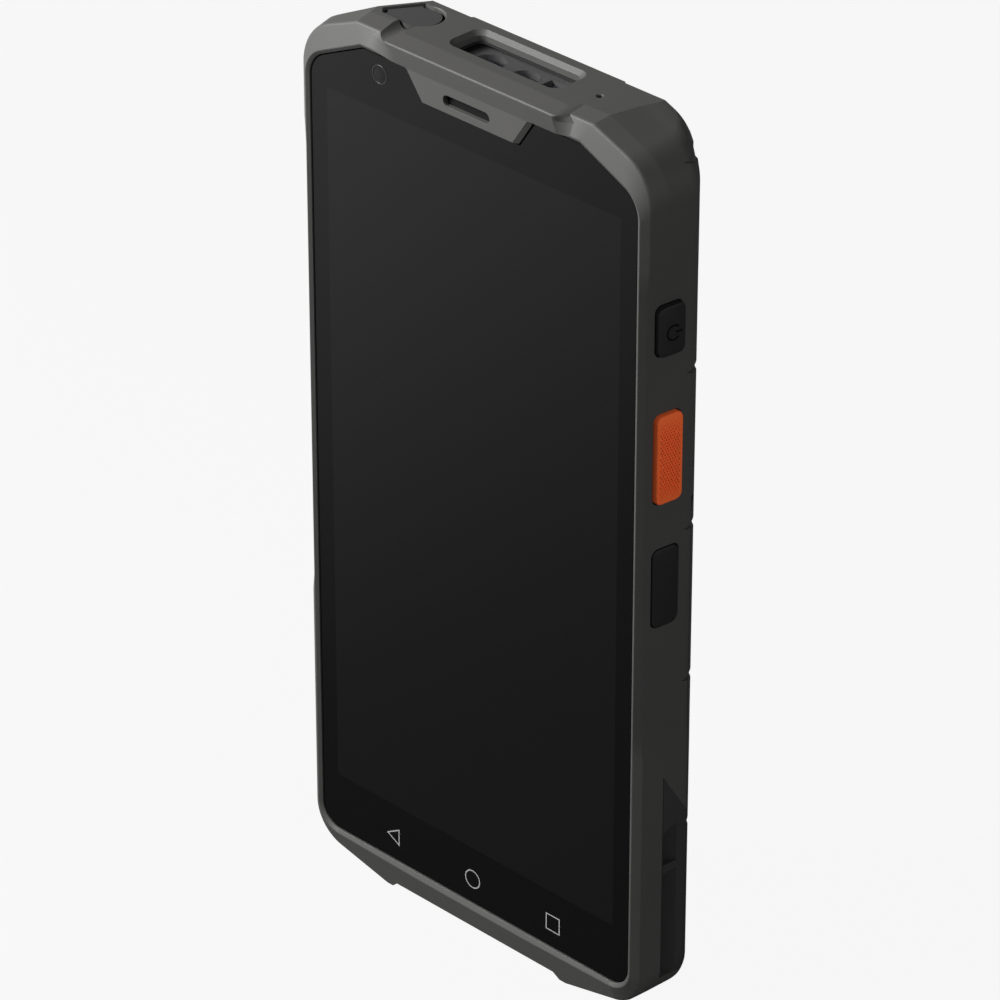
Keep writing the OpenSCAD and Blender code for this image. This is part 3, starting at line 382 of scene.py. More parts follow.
def window_material():
    """Tinted window that shows the lenses behind it."""
    mat = material("window_tint", (0.02, 0.02, 0.022), rough=0.08, level=0.4, bump=0.0,
                   rough_spread=0.01)
    shader = mat.node_tree.nodes["Principled BSDF"]
    shader.inputs["Alpha"].default_value = 0.12
    return mat


GLASS = glass_material()
WINDOW = window_material()

CAD_MATERIALS = {
    "midplate": PLATE, "midplate_screws": STEEL, "battery_tray": TRAY, "cover_seal": SEAL_AND_SHADE,
    "cover_screws": DARK_STEEL, "main_board": BOARD, "shield_cans": STEEL, "board_screws": STEEL,
    "switch_board_right": FLEX, "switch_board_left": FLEX, "side_switches_right": SWITCH,
    "side_switches_left": SWITCH, "audio_jack": ENGINE, "earpiece": ENGINE,
    "earpiece_mesh": MESH, "microphone": STEEL, "front_camera": ENGINE, "rear_camera": ENGINE,
    "camera_window": LENS, "flash_lens": CLEAR, "usb_board": BOARD, "usb_connector": STEEL,
    "loudspeaker": ENGINE, "vibration_motor": STEEL, "board_flex": FLEX, "battery_cell": CELL,
    "battery_pads": GOLD, "battery_contacts": GOLD, "nfc_antenna": SEAL_AND_SHADE, "glass_seal": SEAL_AND_SHADE,
    "display_panel": ENGINE, "scan_engine": READER, "imager_lens": LENS, "light_lens": LENS,
    "aimer_lens": LENS, "scan_window": WINDOW,
}
for node, finish in CAD_MATERIALS.items():
    mesh = frame["nodes"][node].data
    mesh.materials.clear()
    mesh.materials.append(finish)


def finished(obj, body, slot, *nodes):
    """Rides the piece on its body and lets it stand for its CAD nodes."""
    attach(obj, body)
    if nodes:
        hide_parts(*nodes)
    return obj


# ---- the outer form ----
TOP_SLOPE, LOW_SLOPE = 22.0, 12.0
CORNER_X = HALF_W - 13.05               # vertex of the top corner
FOOT_X = HALF_W - 17.4                  # outer end of a foot
WAIST_TOP = DISPLAY_H / 2 - 9
WAIST_LOW = -DISPLAY_H / 2 + 35
WAIST_IN = 0.5
BRIDGE_HW = HALF_W - 19.6
BRIDGE_OUT = 1.6
BLEND_W = 1.7                           # blend at the bridge's right end, along its front edge
BLEND_FAN = 1.3                         # how much further it reaches at its lower edge
BLEND_TURN = 0.5                        # below 1 the blend's step comes late and sharp
BLEND_STEPS = 12
SCOOP_W = 3.6                           # blend at its left end, over the thumb scoop
TAB_HW, TAB_FLARE = 10.2, 3.15          # half width of the tab's low edge, and its slanted ends
TAB_MIDDLE, NEAR = 0.1, 0.05            # middle part of the tab, and what counts as the same place
OPENING_X = HALF_W - 15                 # where the glass opening's corner starts to slope
OPENING_SLOPE = 24.5


def eased(t):
    return t * t * (3 - 2 * t)


def top_stations():
    """Stations along the top edge, right to left.

    Each is its x on the front edge, its x on the lower edge and its share of the bridge's form.
    """
    steps = [i / BLEND_STEPS for i in range(BLEND_STEPS + 1)]
    low_w = BLEND_W + BLEND_FAN
    stations = [(BRIDGE_HW + BLEND_W * (1 - t) ** BLEND_TURN, BRIDGE_HW + low_w * (1 - t), t)
                for t in steps]
    tab = TAB_HW + TAB_FLARE
    stations += [(x, x, 1.0) for x in (tab + 0.1, tab, TAB_HW, 0.0, -TAB_HW, -tab, -tab - 0.1)]
    left = -BRIDGE_HW - BLEND_W + SCOOP_W
    low_left, low_w = left + BLEND_FAN, SCOOP_W + 2 * BLEND_FAN
    stations += [(left - SCOOP_W * t, low_left - low_w * t, eased(1 - t)) for t in steps]
    return stations


TOP_STATIONS = top_stations()


def half_outline(h, vx, zt, slope, rt, fx, zf, low, rb, waist):
    """Right half of an outline, from the top vertex down to the foot."""
    s, l = math.radians(slope), math.radians(low)
    tx = h - rt + rt * math.sin(s)
    tz = zt - math.tan(s) * (tx - vx)
    bx = h - rb + rb * math.sin(l)
    bz = zf + math.tan(l) * (bx - fx) + rb * math.cos(l)
    return ([(vx, zt)] + arc(h - rt, tz - rt * math.cos(s), rt, 90 - slope, 0)
            + [(h, WAIST_TOP + 2), (h - waist, WAIST_TOP - 2),
               (h - waist, WAIST_LOW + 2), (h, WAIST_LOW - 2)]
            + arc(h - rb, bz, rb, 0, low - 90) + [(fx, zf)])


def ring_at(y, half, top, on_low_edge):
    """Whole ring at depth y. top(x, share) gives the (y, z) of the top edge's points."""
    zt = half[0][1]
    down = [(x, y, z) for x, z in half]
    up = [(-x, y, z) for x, z in reversed(half)]
    across = []
    for front_x, low_x, share in TOP_STATIONS:
        x = low_x if on_low_edge else front_x
        across.append((x, *(top(x, share) if top else (y, zt))))
    return down + up + across[::-1]


def body_half(inset, vertex, drop_z, lift, rt, rb, waist):
    return half_outline(HALF_W - inset, CORNER_X + vertex, Z_TOP - drop_z, TOP_SLOPE, rt,
                        FOOT_X, Z_FOOT + lift, LOW_SLOPE, rb, waist)


def blend_top(flush, full):
    """Top-edge points that go from the corner's level to the bridge's."""
    return lambda x, share: tuple(a + (b - a) * share for a, b in zip(flush, full))


CREST_HALF = half_outline(OPEN_HW + 0.65, OPENING_X + 0.2, GLASS_TOP + 0.6, OPENING_SLOPE, 5.6,
                          12, GLASS_BOTTOM - 0.9, 1, 4.6, 0)
INNER_HALF = half_outline(OPEN_HW, OPENING_X, GLASS_TOP, OPENING_SLOPE, 5,
                          12, GLASS_BOTTOM, 0.1, 4, 0)


def between(a, b, t):
    """Points part of the way from one list of points to another."""
    return [tuple(p + (q - p) * t for p, q in zip(one, other)) for one, other in zip(a, b)]


TAB_RISE = 0.16                         # how much further out the tab's root is than its low edge


def tab_edge(depth_out, depth_tab):
    """Top edge of the glass opening, with the earpiece tab hanging into it."""
    def place(x, _):
        if abs(x) > TAB_HW + TAB_FLARE + NEAR:
            return depth_out, GLASS_TOP
        if abs(x) > TAB_HW + NEAR:
            return depth_tab - TAB_RISE if depth_tab < 0 else depth_tab, GLASS_TOP
        return depth_tab, TAB_LOW
    return place


TAB_Y = -0.44                           # depth of the tab's face
TAB_BEVEL_RIGHT, TAB_BEVEL_LEFT = 0.95, 0.35
BEZEL_BEND = 0.68                       # how far up the bezel the bridge's soft blend goes
CREST_Y, EDGE_Y = -0.57, 0.55           # depths of the crest round the glass and of the outer edge
EDGE_DROP = 0.55                        # the outer edge's distance below the top
TAB_RING, EDGE_RING = 2, 5              # places of those rings in outer_rings


def with_tab_bevel(x, y, z):
    """Place of a point of the tab's ring, drawn in where it is on the tab's slanted edges."""
    on_tab = TAB_MIDDLE < abs(x) < TAB_HW + TAB_FLARE + NEAR and z < GLASS_TOP + NEAR and y < TAB_Y / 2
    if on_tab:
        x -= TAB_BEVEL_RIGHT if x > 0 else -TAB_BEVEL_LEFT
    return x, y, z


def outer_rings(full_depth=True):
    """Rings of the outer form from the glass ledge to the back, rounded at their creases.

    Each is its depth, its right half, its top edge and the size of its rounding.
    """
    crest_top = (CREST_Y, GLASS_TOP + 0.6), (CREST_Y - 0.06, GLASS_TOP + 0.05)
    edge_top = (EDGE_Y, Z_TOP - EDGE_DROP), (-BRIDGE_OUT, Z_TOP - EDGE_DROP)
    edge_half = body_half(1, 0, EDGE_DROP, 0, 8.55, 7, WAIST_IN - 0.05)
    bend_half = between(CREST_HALF, edge_half, BEZEL_BEND)
    rings = [
        (LEDGE_Y, INNER_HALF, tab_edge(LEDGE_Y, LEDGE_Y), 0),
        (-0.02, INNER_HALF, tab_edge(-0.02, -0.02), 0),
        (-0.15, INNER_HALF, tab_edge(-0.15, TAB_Y), 0.08),
        (CREST_Y, CREST_HALF, blend_top(*crest_top), 0.16),
        (CREST_Y + (EDGE_Y - CREST_Y) * BEZEL_BEND, bend_half,
         blend_top(*between(crest_top, edge_top, BEZEL_BEND)), 0),
        (EDGE_Y, edge_half, blend_top(*edge_top), 0.42),
        (3.8, body_half(0.5, 0.3, 0.05, 0, 8.6, 7.3, WAIST_IN),
         blend_top((3.8, Z_TOP - 0.05), (1.9, Z_TOP)), 0.15),
        (SEAM_Y - 0.4, body_half(0, 1.5, 0, 0, 8.8, 7.6, WAIST_IN - 0.2), None, 0.7),
        (SEAM_Y + 1.4, body_half(1.2, 2.2, 0, 0, 8.2, 7.2, 0), None, 0.6),
        (BODY_D - 1.3, body_half(3, 2.6, 0, 0.3, 7.4, 6.6, 0), None, 0.4),
        (BODY_D - 0.3, body_half(4.9, 2.7, 0, 1.6, 6.6, 6, 0), None, 0.2),
        (BODY_D, body_half(5.9, 2.7, 0.35, 2.4, 6.2, 5.6, 0), None, 0),
    ]
    made = [ring_at(y, half, top, k < EDGE_RING) for k, (y, half, top, _) in enumerate(rings)]
    made[TAB_RING] = [with_tab_bevel(*point) for point in made[TAB_RING]]
    first = 0 if full_depth else EDGE_RING + 1
    return filleted(made[first:], [size for *_, size in rings[first:]])


def narrowed(rings, by):
    return [[(x * (1 - by / HALF_W), y, z) for x, y, z in ring] for ring in rings]


# The back left corner of the top slopes away below a straight line in the top face.
PLUG_X, PLUG_R, PLUG_GAP = 19.4 - HALF_W, 3.2, 0.45
TOP_Y = 8.0                             # middle of what opens in the top face
CUT_X, CUT_Y = PLUG_X - 6.3, TOP_Y - 1
CUT_TURN, CUT_FALL = math.radians(58), math.radians(33)
CORNER_WALL = 1.4                       # wall under the sloped corner


def slope_cutter(deeper=0.0):
    """What the sloping corner takes away, reaching in further by an amount."""
    start = Vector((CUT_X, CUT_Y, Z_TOP))
    along = Vector((math.cos(CUT_TURN), math.sin(CUT_TURN), 0))
    up = Vector((-math.sin(CUT_TURN) * math.sin(CUT_FALL), math.cos(CUT_TURN) * math.sin(CUT_FALL),
                 math.cos(CUT_FALL)))
    down = up.cross(along)
    far, above, rings = 40, 20, []
    for height in (-deeper, far - deeper):
        rings.append([tuple(start + along * a + down * b + up * height)
                      for a, b in ((-far, -above), (far, -above), (far, 60), (-far, 60))])
    return grid_object("corner_slope", rings)


GROOVE_Z, GROOVE_PITCH = 9, 27          # middle groove, and from one to the next
GROOVES = *(GROOVE_Z + index * GROOVE_PITCH for index in range(-2, 2)), Z_TOP - 5.5
GROOVE_HALF, GROOVE_IN = 1.9, 5.3       # half width at the back, and reach in from the side


def grip_grooves():
    """Cutters for the shallow V grooves across the back's two edges."""
    made = []
    for z in GROOVES:
        for side in (-1, 1):
            points = [(SEAM_Y - 1.6, z), (BODY_D + OVER, z - GROOVE_HALF),
                      (BODY_D + OVER, z + GROOVE_HALF)]
            ends = sorted((side * (HALF_W - GROOVE_IN), side * (HALF_W + OVER)))
            cutter = prism("groove", "x", points, *ends)
            boolean(cutter, core, "DIFFERENCE")
            made.append(cutter)
    return made


def cavity_points(inset):
    half = half_outline(CAVITY_HW - inset, CORNER_X - 1.2, CAVITY_TOP - inset, TOP_SLOPE, 7 - inset,
                        HALF_W - 18, CAVITY_LOW + inset, 3, 5 - inset, 0)
    return half + [(-x, z) for x, z in reversed(half)]


# ---- front housing ----
SCAN_Z = DISPLAY_H / 2 - 39.6
POWER_Z = SCAN_Z + 21.9
FUNCTION_Z = SCAN_Z - 22.5
VOLUME_Z = POWER_Z - 0.8
KEY_Y, KEY_W, KEY_GAP = 4.4, 4.9, 0.2
KEYS = {"power_key": (1, POWER_Z, 8.4, 0.85), "scan_key_right": (1, SCAN_Z, 15.2, 1.0),
        "function_key": (1, FUNCTION_Z, 13.6, 0.05), "scan_key_left": (-1, SCAN_Z, 15.2, 1.0),
        "volume_key": (-1, VOLUME_Z, 13.0, 0.85)}
POCKET_X = SIDE_X - WALL + 0.4

EAR_X, EAR_Z = -0.4, TAB_LOW + 2.1
CAMERA_X, CAMERA_Z = 18.5 - HALF_W, GLASS_TOP - 3.45
PLUG_TOP, PLUG_T = Z_TOP - 0.35, 1.3
PIN_R, PIN_IN, PIN_ROOM = 0.45, 1.2, 0.65
ENGINE_X, SCAN_Y = 2.2, TOP_Y - 0.25
SCAN_W, SCAN_D, SCAN_CHAMFER = 22.0, 6.3, 0.7
MIC_X, MIC_Y = HALF_W - 18.2, TOP_Y - 0.8
USB_Y = 7.8
SPEAKER_X, SPEAKER_PITCH = 14, 2.2


def key_cutter(side, z, h):
    g = 2 * KEY_GAP
    stations = [(POCKET_X, KEY_W + g, h + g, 1.3), (SIDE_X + 0.05, KEY_W + g, h + g, 1.3),
                (SIDE_X + 0.9, KEY_W + g + 0.9, h + g + 0.9, 1.7)]
    return pad_solid("key_pocket", "x", (KEY_Y, z), [(side * x, *rest) for x, *rest in stations])


def by_pin(t, inward):
    """Place at t along the jack cover's pin and an amount in from it."""
    u = PIN_IN + inward
    return (CUT_X + t * math.cos(CUT_TURN) + u * math.sin(CUT_TURN),
            CUT_Y + t * math.sin(CUT_TURN) - u * math.cos(CUT_TURN))


def plug_cutters():
    low = PLUG_TOP - PLUG_T - 0.05
    r = PLUG_R + PLUG_GAP
    front = TOP_Y - PLUG_R
    disc = round_solid("plug_disc", "z", (PLUG_X + 0.15, TOP_Y),
                       [(low, r), (Z_TOP - 0.12, r), (Z_TOP + 0.3, r + 0.42)])
    slot = prism("plug_slot", "z", [
        (PLUG_X, front - 0.1), (PLUG_X - 5.15, front), (PLUG_X - 5.95, front + 0.7),
        by_pin(-0.75, -PIN_ROOM), by_pin(5.8, -PIN_ROOM), (PLUG_X - 0.6, TOP_Y + PLUG_R + 0.35)],
        low, Z_TOP + OVER)
    return disc, slot


def hump_end(side):
    """What the head's back leaves free beside the hump behind the scan engine."""
    x = ENGINE_X + (16.6 if side > 0 else -14.4)
    y = BODY_D - 0.7
    return prism("hump_end", "z", [(x, BODY_D + OVER), (x, BODY_D), (x + side * 0.7, y),
                                   (side * (HALF_W + OVER), y), (side * (HALF_W + OVER), BODY_D + OVER)],
                 HEAD_LOW - 0.05, Z_TOP + OVER)


def scoop_cutter():
    """Shallow round groove from the plug to the front edge."""
    deep = 0.9
    r = (SCOOP_W ** 2 / 4 + deep ** 2) / (2 * deep)
    x = -BRIDGE_HW - BLEND_W + SCOOP_W / 2
    tilt = math.tan(math.radians(1))
    rings = []
    for y in (TOP_Y - PLUG_R + 1, -4.0):
        z = Z_TOP + r - deep - (TOP_Y - y) * tilt
        rings.append([(x + px, y, z + pz) for px, pz in arc(0, 0, r, 0, 360, 96)[:-1]])
    return grid_object("scoop", rings)


def scan_cutters():
    c, over = SCAN_CHAMFER, 0.3
    through = pad_solid("scan_through", "z", (ENGINE_X, SCAN_Y), [
        (CAVITY_TOP - 0.05, SCAN_W, SCAN_D, 1.6), (Z_TOP - c, SCAN_W, SCAN_D, 1.6),
        (Z_TOP + over, SCAN_W + 2 * (c + over), SCAN_D + 2 * (c + over), 1.6 + (c + over) / 2)])
    seat = pad_solid("scan_seat", "z", (ENGINE_X, SCAN_Y), [
        (CAVITY_TOP - OVER, SCAN_W + 1.6, SCAN_D + 1.6, 0.8),
        (CAVITY_TOP + 0.6, SCAN_W + 1.6, SCAN_D + 1.6, 0.8)])
    return seat, through


def foot_cutter():
    a, b = FOOT_X - 1.3, FOOT_X - 2.7
    points = [(-a, Z_FOOT - OVER), (-a, Z_FOOT), (-b, Z_FOOT + 1.2), (b, Z_FOOT + 1.2), (a, Z_FOOT),
              (a, Z_FOOT - OVER)]
    return prism("foot_recess", "y", points, -2, BODY_D + OVER)


GUARD_TOP, GUARD_LOW = TAIL_TOP + 36.8, TAIL_TOP - 1
GUARD_SLOPE = 8.4                       # how much lower a guard's top is at the back
GUARD_X = SIDE_X - 1.2                  # inner face of a guard


def guard_points(grow):
    """Side outline (y, z) of a corner guard, larger all round by an amount."""
    back = SEAM_Y + 0.1
    return [(KEY_Y - grow, GUARD_TOP + grow), (back, GUARD_TOP - GUARD_SLOPE + grow),
            (back, GUARD_LOW - grow), (KEY_Y - grow, GUARD_LOW - grow)]


GROOVE_DEEP = 0.5
core = grid_object("core", narrowed(outer_rings(False), GROOVE_DEEP))
cut(core, slope_cutter(-0.3))           # a little proud of the slope, which has no groove


def front_housing():
    obj = grid_object("housing_shell", outer_rings(), HOUSING)
    cut(obj, slope_cutter(), hump_end(-1), hump_end(1))
    cut(obj, *grip_grooves())
    cut(obj, box_solid("covers_room", (-HALF_W - OVER, SEAM_Y, TAIL_TOP),
                       (HALF_W + OVER, BODY_D + OVER, HEAD_LOW)))
    panel = local(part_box("display_panel")[0]), local(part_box("display_panel")[1])
    cut(obj, box_solid("panel_room", (panel[0].x - 0.2, LEDGE_Y - 0.05, panel[0].z - 0.2),
                       (panel[1].x + 0.2, PLATE_Y + 0.05, panel[1].z + 0.2)))
    room = prism("inside", "y", cavity_points(0), PLATE_Y, SEAM_Y + 8)
    cut(room, box_solid("tail", (-HALF_W, COVER_IN_Y, Z_FOOT), (HALF_W, BODY_D + 8, TAIL_TOP)))
    cut(room, box_solid("head", (-HALF_W, COVER_IN_Y, HEAD_LOW), (HALF_W, BODY_D + 8, Z_TOP)))
    cut(room, slope_cutter(CORNER_WALL))
    cut(obj, room)
    cut(obj, foot_cutter())
    cut(obj, pad_solid("ear_slot", "y", (EAR_X, EAR_Z), [
        (-2.0, 11.4, 3.5, 1.7), (-0.75, 10.1, 2.2, 1.05), (-0.35, 9.7, 1.8, 0.85),
        (1, 9.7, 1.8, 0.85)]))
    cut(obj, pad_solid("ear_pocket", "y", (EAR_X, EAR_Z), [(0.4, 12.4, 3.1, 0.8),
                                                          (PLATE_Y + 0.05, 12.4, 3.1, 0.8)]))
    for side, z, h, _ in KEYS.values():
        cut(obj, key_cutter(side, z, h))
        inner = sorted((side * (CAVITY_HW - 1), side * (POCKET_X + 0.05)))
        cut(obj, pad_solid("key_window", "x", (KEY_Y + 0.4, z), [
            (inner[0], KEY_W - 1.8, h - 2.4, 1), (inner[1], KEY_W - 1.8, h - 2.4, 1)]))
    cut(obj, *scan_cutters())
    cut(obj, *plug_cutters())
    cut(obj, scoop_cutter())
    cut(obj, round_solid("plug_hole", "z", (PLUG_X, TOP_Y), [
        (CAVITY_TOP - OVER, 2.6), (Z_TOP - 1, 2.6)]))
    cut(obj, round_solid("mic_hole", "z", (MIC_X, MIC_Y), [
        (CAVITY_TOP - OVER, 0.55), (Z_TOP - 0.1, 0.55), (Z_TOP + 0.1, 0.75)]))
    cut(obj, pad_solid("usb_hole", "z", (0, USB_Y), [
        (z, 9.34, 3.56, 1.6) for z in (Z_FOOT - OVER, Z_FOOT + 5)]))
    for i in range(-2, 2):
        cut(obj, round_solid("speaker_hole", "z", (SPEAKER_X + i * SPEAKER_PITCH, USB_Y), [
            (z, 0.6) for z in (Z_FOOT - OVER, Z_FOOT + 5)]))
    for side in (-1, 1):
        ends = sorted((side * GUARD_X, side * (HALF_W + OVER)))
        cut(obj, prism("guard_pocket", "x", guard_points(0), *ends))
    faceted(obj)
    return finished(obj, "terminal", "housing", "front_housing")


def keep(obj, cutter):
    boolean(obj, cutter, "INTERSECT")
    drop(cutter)


LENS_X, LENS_Z = HALF_W - 18, 55.0      # rear camera
FLASH_BELOW = 11                        # from the rear camera down to the flash
SCREWS = (CAVITY_HW - 1.9, COVER_SEAM + 21.5), (CAVITY_HW - 5.2, CAVITY_TOP - 6.7)
SHANK_R, HEAD_R, HEAD_Y = 0.9, 1.55, SEAM_Y + 1.2


def rear_cover():
    obj = grid_object("rear_cover_shell", outer_rings(), COVER)
    cut(obj, slope_cutter())
    cut(obj, *grip_grooves())
    keep(obj, box_solid("share", (-HALF_W - OVER, SEAM_Y, COVER_SEAM + COVER_GAP),
                        (HALF_W + OVER, BODY_D + OVER, HEAD_LOW)))
    room = prism("inside", "y", cavity_points(0.6), SEAM_Y - OVER, COVER_IN_Y)
    keep(room, box_solid("limit", (-HALF_W, 0, COVER_SEAM + COVER_GAP + SHELL),
                         (HALF_W, BODY_D, Z_TOP)))
    cut(room, slope_cutter(CORNER_WALL))
    cut(obj, room)
    cut(obj, round_solid("camera_hole", "y", (LENS_X, LENS_Z), [
        (SEAM_Y, 3.4), (BODY_D + OVER, 3.4)]))
    cut(obj, round_solid("camera_seat", "y", (LENS_X, LENS_Z), [
        (BODY_D - 0.9, 5.1), (BODY_D - 0.2, 5.1), (BODY_D + 0.3, 5.6)]))
    cut(obj, round_solid("flash_hole", "y", (LENS_X, LENS_Z - FLASH_BELOW), [
        (SEAM_Y, 2.1), (BODY_D - 0.25, 2.1), (BODY_D + 0.3, 2.7)]))
    for side in (-1, 1):
        for lug_x, lug_z in SCREWS:
            cut(obj, round_solid("screw_hole", "y", (side * lug_x, lug_z), [
                (SEAM_Y - OVER, SHANK_R), (HEAD_Y, SHANK_R), (HEAD_Y + 0.0001, HEAD_R),
                (BODY_D - 0.2, HEAD_R), (BODY_D + 0.4, HEAD_R + 0.55)]))
    faceted(obj)
    return finished(obj, "terminal", "cover", "rear_cover")


def battery_cover():
    obj = grid_object("battery_cover_shell", outer_rings(), COVER)
    cut(obj, *grip_grooves())
    low_y = SEAM_Y + COVER_GAP
    r = (BODY_D - low_y) / 2
    y, z = BODY_D - r, COVER_SEAM - COVER_GAP - r
    low = TAIL_TOP + 2 * COVER_GAP
    points = [(low_y, low), (BODY_D + OVER, low), (BODY_D + OVER, z)] + arc(y, z, r, 0, 180, 30)
    keep(obj, prism("share", "x", points, -HALF_W - OVER, HALF_W + OVER))
    room = prism("inside", "y", cavity_points(0.6), SEAM_Y - OVER, COVER_IN_Y)
    keep(room, box_solid("limit", (-HALF_W, 0, low + SHELL), (HALF_W, BODY_D, z - 0.05)))
    cut(obj, room)
    faceted(obj)
    return finished(obj, "battery_pack", "cover", "battery_cover")


def finger_notch(side):
    """Cutter for the slanted notch down a guard's side, but for a rib across it."""
    far = HALF_W + 2
    notch = prism("channel", "z", [
        (side * (GUARD_X + 0.2), KEY_Y + 0.2), (side * (GUARD_X + 0.2), KEY_Y + 1.5),
        (side * (HALF_W + 0.3), KEY_Y + 3.4), (side * far, KEY_Y + 0.1)],
        GUARD_LOW - 1, GUARD_LOW + 36)
    reach = sorted((side * (GUARD_X - 1), side * far))
    low, top, rib = GUARD_LOW - 2, GUARD_TOP - 9.4, GUARD_TOP - 16.5
    keep(notch, prism("channel_end", "x", [
        (KEY_Y, low), (KEY_Y, top - 1.6), (KEY_Y + 0.8, top - 0.7), (KEY_Y + 3, top),
        (KEY_Y + 4, top), (KEY_Y + 4, low)], *reach))
    cut(notch, prism("rib", "x", [(KEY_Y - 1, rib), (KEY_Y + 5, rib + 0.2), (KEY_Y + 5, rib - 1),
                                  (KEY_Y - 1, rib - 1.6)], *reach))
    return notch


def corner_guard(side):
    obj = grid_object("corner_guard_right" if side > 0 else "corner_guard_left", outer_rings(), GUARD)
    ends = sorted((side * GUARD_X, side * (HALF_W + OVER)))
    keep(obj, prism("share", "x", guard_points(-0.1), *ends))
    keep(obj, box_solid("seam", (-HALF_W - OVER, 0, Z_FOOT), (HALF_W + OVER, SEAM_Y, Z_TOP)))
    cut(obj, finger_notch(side))
    faceted(obj)
    return finished(obj, "terminal", "guard")


front_housing()
rear_cover()
battery_cover()
for side in (-1, 1):
    guard = corner_guard(side)
    if side > 0:
        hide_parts("corner_guards")
drop(core)


# ---- glass and its print ----
def opening_points(inset):
    half = [(TAB_HW + inset, TAB_LOW - inset), (TAB_HW + TAB_FLARE + inset, GLASS_TOP - inset),
            (OPENING_X - inset / 4, GLASS_TOP - inset)]
    s, r, h = math.radians(OPENING_SLOPE), 5 - inset, OPEN_HW - inset
    tx = h - r + r * math.sin(s)
    half += arc(h - r, GLASS_TOP - inset - math.tan(s) * (tx - OPENING_X) - r * math.cos(s), r,
                90 - OPENING_SLOPE, 0)
    half += arc(OPEN_HW - 4, GLASS_BOTTOM + 4, 4 - inset, 0, -90)
    return half + [(-x, z) for x, z in reversed(half)]


def cover_glass():
    stations = [(0.0, 0.28), (0.02, 0.235), (0.08, 0.2), (GLASS_T, 0.2)]
    rings = [[(x, y, z) for x, z in opening_points(inset)] for y, inset in stations]
    obj = grid_object("cover_glass_sheet", rings, GLASS)
    faceted(obj, 30)
    return finished(obj, "terminal", "cover_glass", "cover_glass")


MARK_LIFT = 0.012                       # the print's height over the glass
LINE = 0.2
MITRE_LIMIT = 0.35                      # keeps the line's corners short


def mark_loop(name, points):
    """Printed line along a closed loop of (x, z) points."""
    count = len(points)
    middle = Vector((sum(p[0] for p in points) / count, sum(p[1] for p in points) / count))
    outer, inner = [], []
    for i, point in enumerate(points):
        before, here, after = (Vector(points[i - 1]), Vector(point), Vector(points[(i + 1) % count]))
        a, b = (here - before).normalized(), (after - here).normalized()
        outward = Vector((a.y, -a.x))
        normal = Vector((a.y + b.y, -a.x - b.x)).normalized()
        if outward.dot(here - middle) <= 0:
            outward = -outward
        if normal.dot(here - middle) < 0:
            normal = -normal
        reach = LINE / 2 / max(MITRE_LIMIT, normal.dot(outward))
        outer.append(here + normal * reach)
        inner.append(here - normal * reach)
    verts = [at(p.x, -MARK_LIFT, p.y) for p in outer + inner]
    faces = [(i, (i + 1) % count, count + (i + 1) % count, count + i) for i in range(count)]
    return finished(mesh_object(name, verts, faces, MARK), "terminal", "cover_glass")


def touch_marks():
    """Triangle, circle and square below the display."""
    z, square_x, half = -DISPLAY_H / 2 - 6, 18.1, 1.45
    mark_loop("mark_triangle", [(-19.6, z), (-17.0, z + 1.5), (-17.0, z - 1.4)])
    mark_loop("mark_circle", arc(0, z, 1.6, 0, 360, 48)[:-1])
    mark_loop("mark_square", [(square_x + i * half, z + j * half)
                              for i, j in ((-1, -1), (1, -1), (1, 1), (-1, 1))])


def camera_ring():
    """Thin rounded ring and a low lens dome over the front camera."""
    steps, ring_r, half, out, root = 64, 1.5, 0.14, 0.05, 0.2
    profile = [(ring_r + half * a, out * b) for a, b in arc(0, 0, 1, 0, -180, 6)]
    profile += [(ring_r - half, root), (ring_r + half, root)]
    verts, faces, n = [], [], len(profile)
    for i in range(steps):
        turn = 2 * math.pi * i / steps
        verts += [at(CAMERA_X + r * math.cos(turn), y, CAMERA_Z + r * math.sin(turn))
                  for r, y in profile]
        for j in range(n):
            near, far = i * n, (i + 1) % steps * n
            faces.append((near + j, near + (j + 1) % n, far + (j + 1) % n, far + j))
    ring = mesh_object("camera_ring", verts, faces, TRIM)
    finished(smooth(ring, 50), "terminal", "engine")
    dome = round_solid("camera_dome", "y", (CAMERA_X, CAMERA_Z),
                       [(0.3, 1.2), (-0.01, 1.2), (-0.03, 0.85), (-0.04, 0.4)], CAMERA)
    finished(smooth(dome, 50), "terminal", "lens")


def window_shade_ring():
    """Dark ring round the scan window: painted shade standing in for the shadow in the gap at the
    window's edge.
    """
    low, high = CAVITY_TOP + 0.6, CAVITY_TOP + 0.75
    obj = pad_solid("window_shade_ring", "z", (ENGINE_X, SCAN_Y),
                    [(z, SCAN_W - 0.02, SCAN_D - 0.02, 1.6) for z in (low, high)], SEAL_AND_SHADE)
    cut(obj, pad_solid("shade_ring_hole", "z", (ENGINE_X, SCAN_Y),
                       [(z, SCAN_W - 0.9, SCAN_D - 0.9, 1.2) for z in (low - 1, high + 1)]))
    # the ring is painted shade, filed with the seals
    finished(smooth(obj, 30), "terminal", "seal")


cover_glass()
touch_marks()
camera_ring()
window_shade_ring()


# ---- keys ----
KEY_LEAN, KEY_EDGE = 0.32, 0.32


def key_face(name, u, v):
    """How far out a key's face is, at u back and v up from its middle."""
    _, _, h, out = KEYS[name]
    crown = 0.45 if out >= 1.0 else 0.0
    return SIDE_X + out + KEY_LEAN * u / (KEY_W / 2) - crown * (2 * v / h) ** 2


def on_key(name, points, lift):
    """Places of (u, v) points at a height over a key's face."""
    side, z, *_ = KEYS[name]
    return [(side * (key_face(name, u, v) + lift), KEY_Y + u, z + v) for u, v in points]


